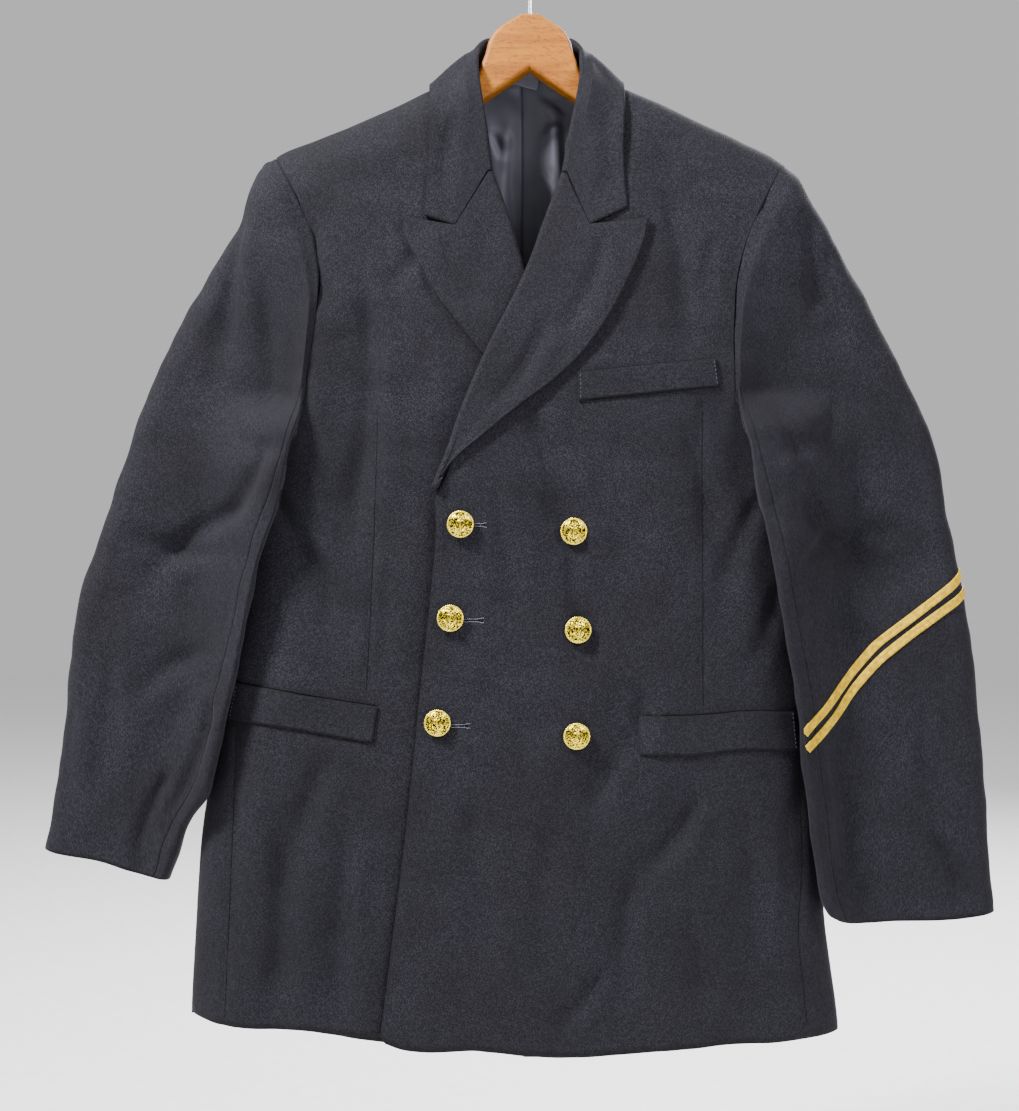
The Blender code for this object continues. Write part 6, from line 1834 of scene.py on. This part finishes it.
def meshed(thing, name):
    """A curve's mesh with its caps welded; the curve goes."""
    bpy.context.view_layer.update()
    shown = thing.evaluated_get(bpy.context.evaluated_depsgraph_get())
    mesh = bpy.data.meshes.new_from_object(shown)
    mesh.transform(thing.matrix_world)
    mesh.name = name
    welded = bmesh.new()
    welded.from_mesh(mesh)
    bmesh.ops.remove_doubles(welded, verts=welded.verts, dist=1e-5)
    welded.to_mesh(mesh)
    welded.free()
    mesh.shade_smooth()
    bpy.data.objects.remove(thing)
    return mesh


def routed(name, points, closed, **settings):
    """A Blender curve along straight pieces between points, with its own settings."""
    made = bpy.data.curves.new(name, "CURVE")
    for key, value in settings.items():
        setattr(made, key, value)
    spline = made.splines.new("POLY")
    spline.points.add(len(points) - 1)
    for point, place in zip(spline.points, points):
        point.co = (*place, 1)
    spline.use_cyclic_u = closed
    thing = bpy.data.objects.new(name, made)
    bpy.context.scene.collection.objects.link(thing)
    return thing


def hanger_wood(wood):
    """The wooden body, its edges rounded all round."""
    halves = []
    for side in (LEFT, RIGHT):
        neck = curve([(side * x, z) for x, z in WOOD_NECK])(np.linspace(0, 1, 40))
        arm = [(x, float(ridge(x)) - UNDER_RIDGE) for x in np.linspace(ARM_START, ARM_STOP, 30) * side]
        tip_z = float(ridge(side * ARM_END)) - UNDER_RIDGE
        tip = [(side * (ARM_END + beyond), tip_z + down) for beyond, down in ARM_TIP]
        under = curve([(side * x, z) for x, z in WOOD_UNDER])(np.linspace(0, 1, 30))
        halves.append([*neck, *arm, *tip, *under])
    outline = halves[0] + [WOOD_APEX] + halves[1][::-1]
    body = routed("hanger_wood_outline", [(x, z, 0) for x, z in outline], True, dimensions="2D",
                  fill_mode="BOTH", extrude=WOOD_HALF - WOOD_BEVEL, bevel_depth=WOOD_BEVEL,
                  offset=-WOOD_BEVEL, bevel_resolution=6)
    body.rotation_euler = (math.pi / 2, 0, 0)
    mesh = meshed(body, "hanger_wood_varnished")
    mesh.set_sharp_from_angle(angle=SHARP_ANGLE)
    dressed(mesh.name, mesh, wood, "hanger_wood")


def hanger_hook(steel):
    """A wire hook whose inner top is the origin, from its tip round to its foot in the wood."""
    radius = HOOK_INNER + WIRE
    arc = [(radius * math.cos(a), radius * math.sin(a) - HOOK_INNER)
           for a in np.radians(np.linspace(*HOOK_TURN, 90))]
    foot = curve([arc[-1], *HOOK_FOOT])(np.linspace(0, 1, 40))[1:]
    body = routed("hanger_hook_route", [(x, 0, z) for x, z in [*arc, *foot]], False, dimensions="3D",
                  bevel_depth=WIRE, bevel_resolution=5, use_fill_caps=True)
    dressed("hanger_hook_wire", meshed(body, "hanger_hook_wire"), steel, "hanger_hook")


# Camera where the photo was taken, and the studio round the coat.
EYE = (-0.0168, -1.3, -0.5207)
LENS, SENSOR = 49.79, 36.0
FLOOR_Z = -1.25
FLOOR_HALF = 8.0
SKY_STRENGTH = 0.58
LIGHTS = (
    # name, place, aim, size, watts, colour
    ("key_light", (-1.35, -1.0, 1.25), (0.0, 0.0, -0.18), 0.45, 222.0, "#FFFFFF"),
    ("fill_light", (1.5, -1.5, 1.0), (0.0, 0.0, -0.3), 1.2, 76.0, "#FAFAFF"),
    ("back_light", (1.3, 1.9, 1.1), (0.0, 0.0, -0.4), 1.2, 150.0, "#FFFFFF"),
)


def staged(name, data, place, turn):
    """Puts a camera or light in the scene, beside the part and not of it."""
    thing = bpy.data.objects.new(name, data)
    thing.location = place
    thing.rotation_euler = turn
    bpy.context.scene.collection.objects.link(thing)
    return thing


def camera():
    seen = bpy.data.cameras.new("photo_camera")
    seen.lens = LENS
    seen.sensor_width = SENSOR
    bpy.context.scene.camera = staged("photo_camera", seen, EYE, (math.pi / 2, 0, 0))


def lights():
    for name, place, aim, size, watts, colour in LIGHTS:
        lamp = bpy.data.lights.new(name, "AREA")
        lamp.shape = "DISK"
        lamp.size = size
        lamp.energy = watts
        lamp.color = linear(colour)[:3]
        staged(name, lamp, place, (Vector(aim) - Vector(place)).to_track_quat("-Z", "Y").to_euler())


def studio():
    """A pale sweep of paper far below the coat, and an even white sky."""
    floor = edited(bpy.ops.mesh.primitive_plane_add,
                   lambda co: (co.x * FLOOR_HALF, co.y * FLOOR_HALF, FLOOR_Z), size=2.0)
    floor.name = "paper_floor"
    floor.data.materials.append(matt_paper())
    world = bpy.data.worlds.new("Even white sky")
    world.use_nodes = True
    fill_in(world.node_tree.nodes["Background"], {"Color": linear("#FFFFFF"), "Strength": SKY_STRENGTH})
    bpy.context.scene.world = world


wool = wool_serge()
# Black painted shade, made like a thread: the dark lines in the seams' hollows, the pockets' mouths and the
# buttonhole slits.
black_painted_shade = sewing_thread("Black painted shade", "#060607", "#0D0D10")
navy_thread = sewing_thread("Navy cotton thread", "#34343C", "#4E4E58")
grey_thread = sewing_thread("Grey silk twist", "#5E606C", "#8B8D99")
fronts(wool)
backs(wool)
vent(wool)
for side in (LEFT, RIGHT):
    lapel(side, wool)
    sleeve(side, wool)
collar(wool)
welts(wool, navy_thread, black_painted_shade)
buttonholes(grey_thread, black_painted_shade)
seam_shade_lines(black_painted_shade)
stripes(gold_lace())
lining(satin_weave("Black lining satin", "#44444E", "#565662"))
label(satin_weave("Grey label satin", "#5C5C68", "#6E6E7C"), grey_thread)
buttons(gilt_brass("Gilt stamped brass", *GILT_RAISED), gilt_brass("Antiqued gilt ground", *GILT_GROUND))
hanger_wood(varnished_beech())
hanger_hook(plated_steel())
camera()
lights()
studio()
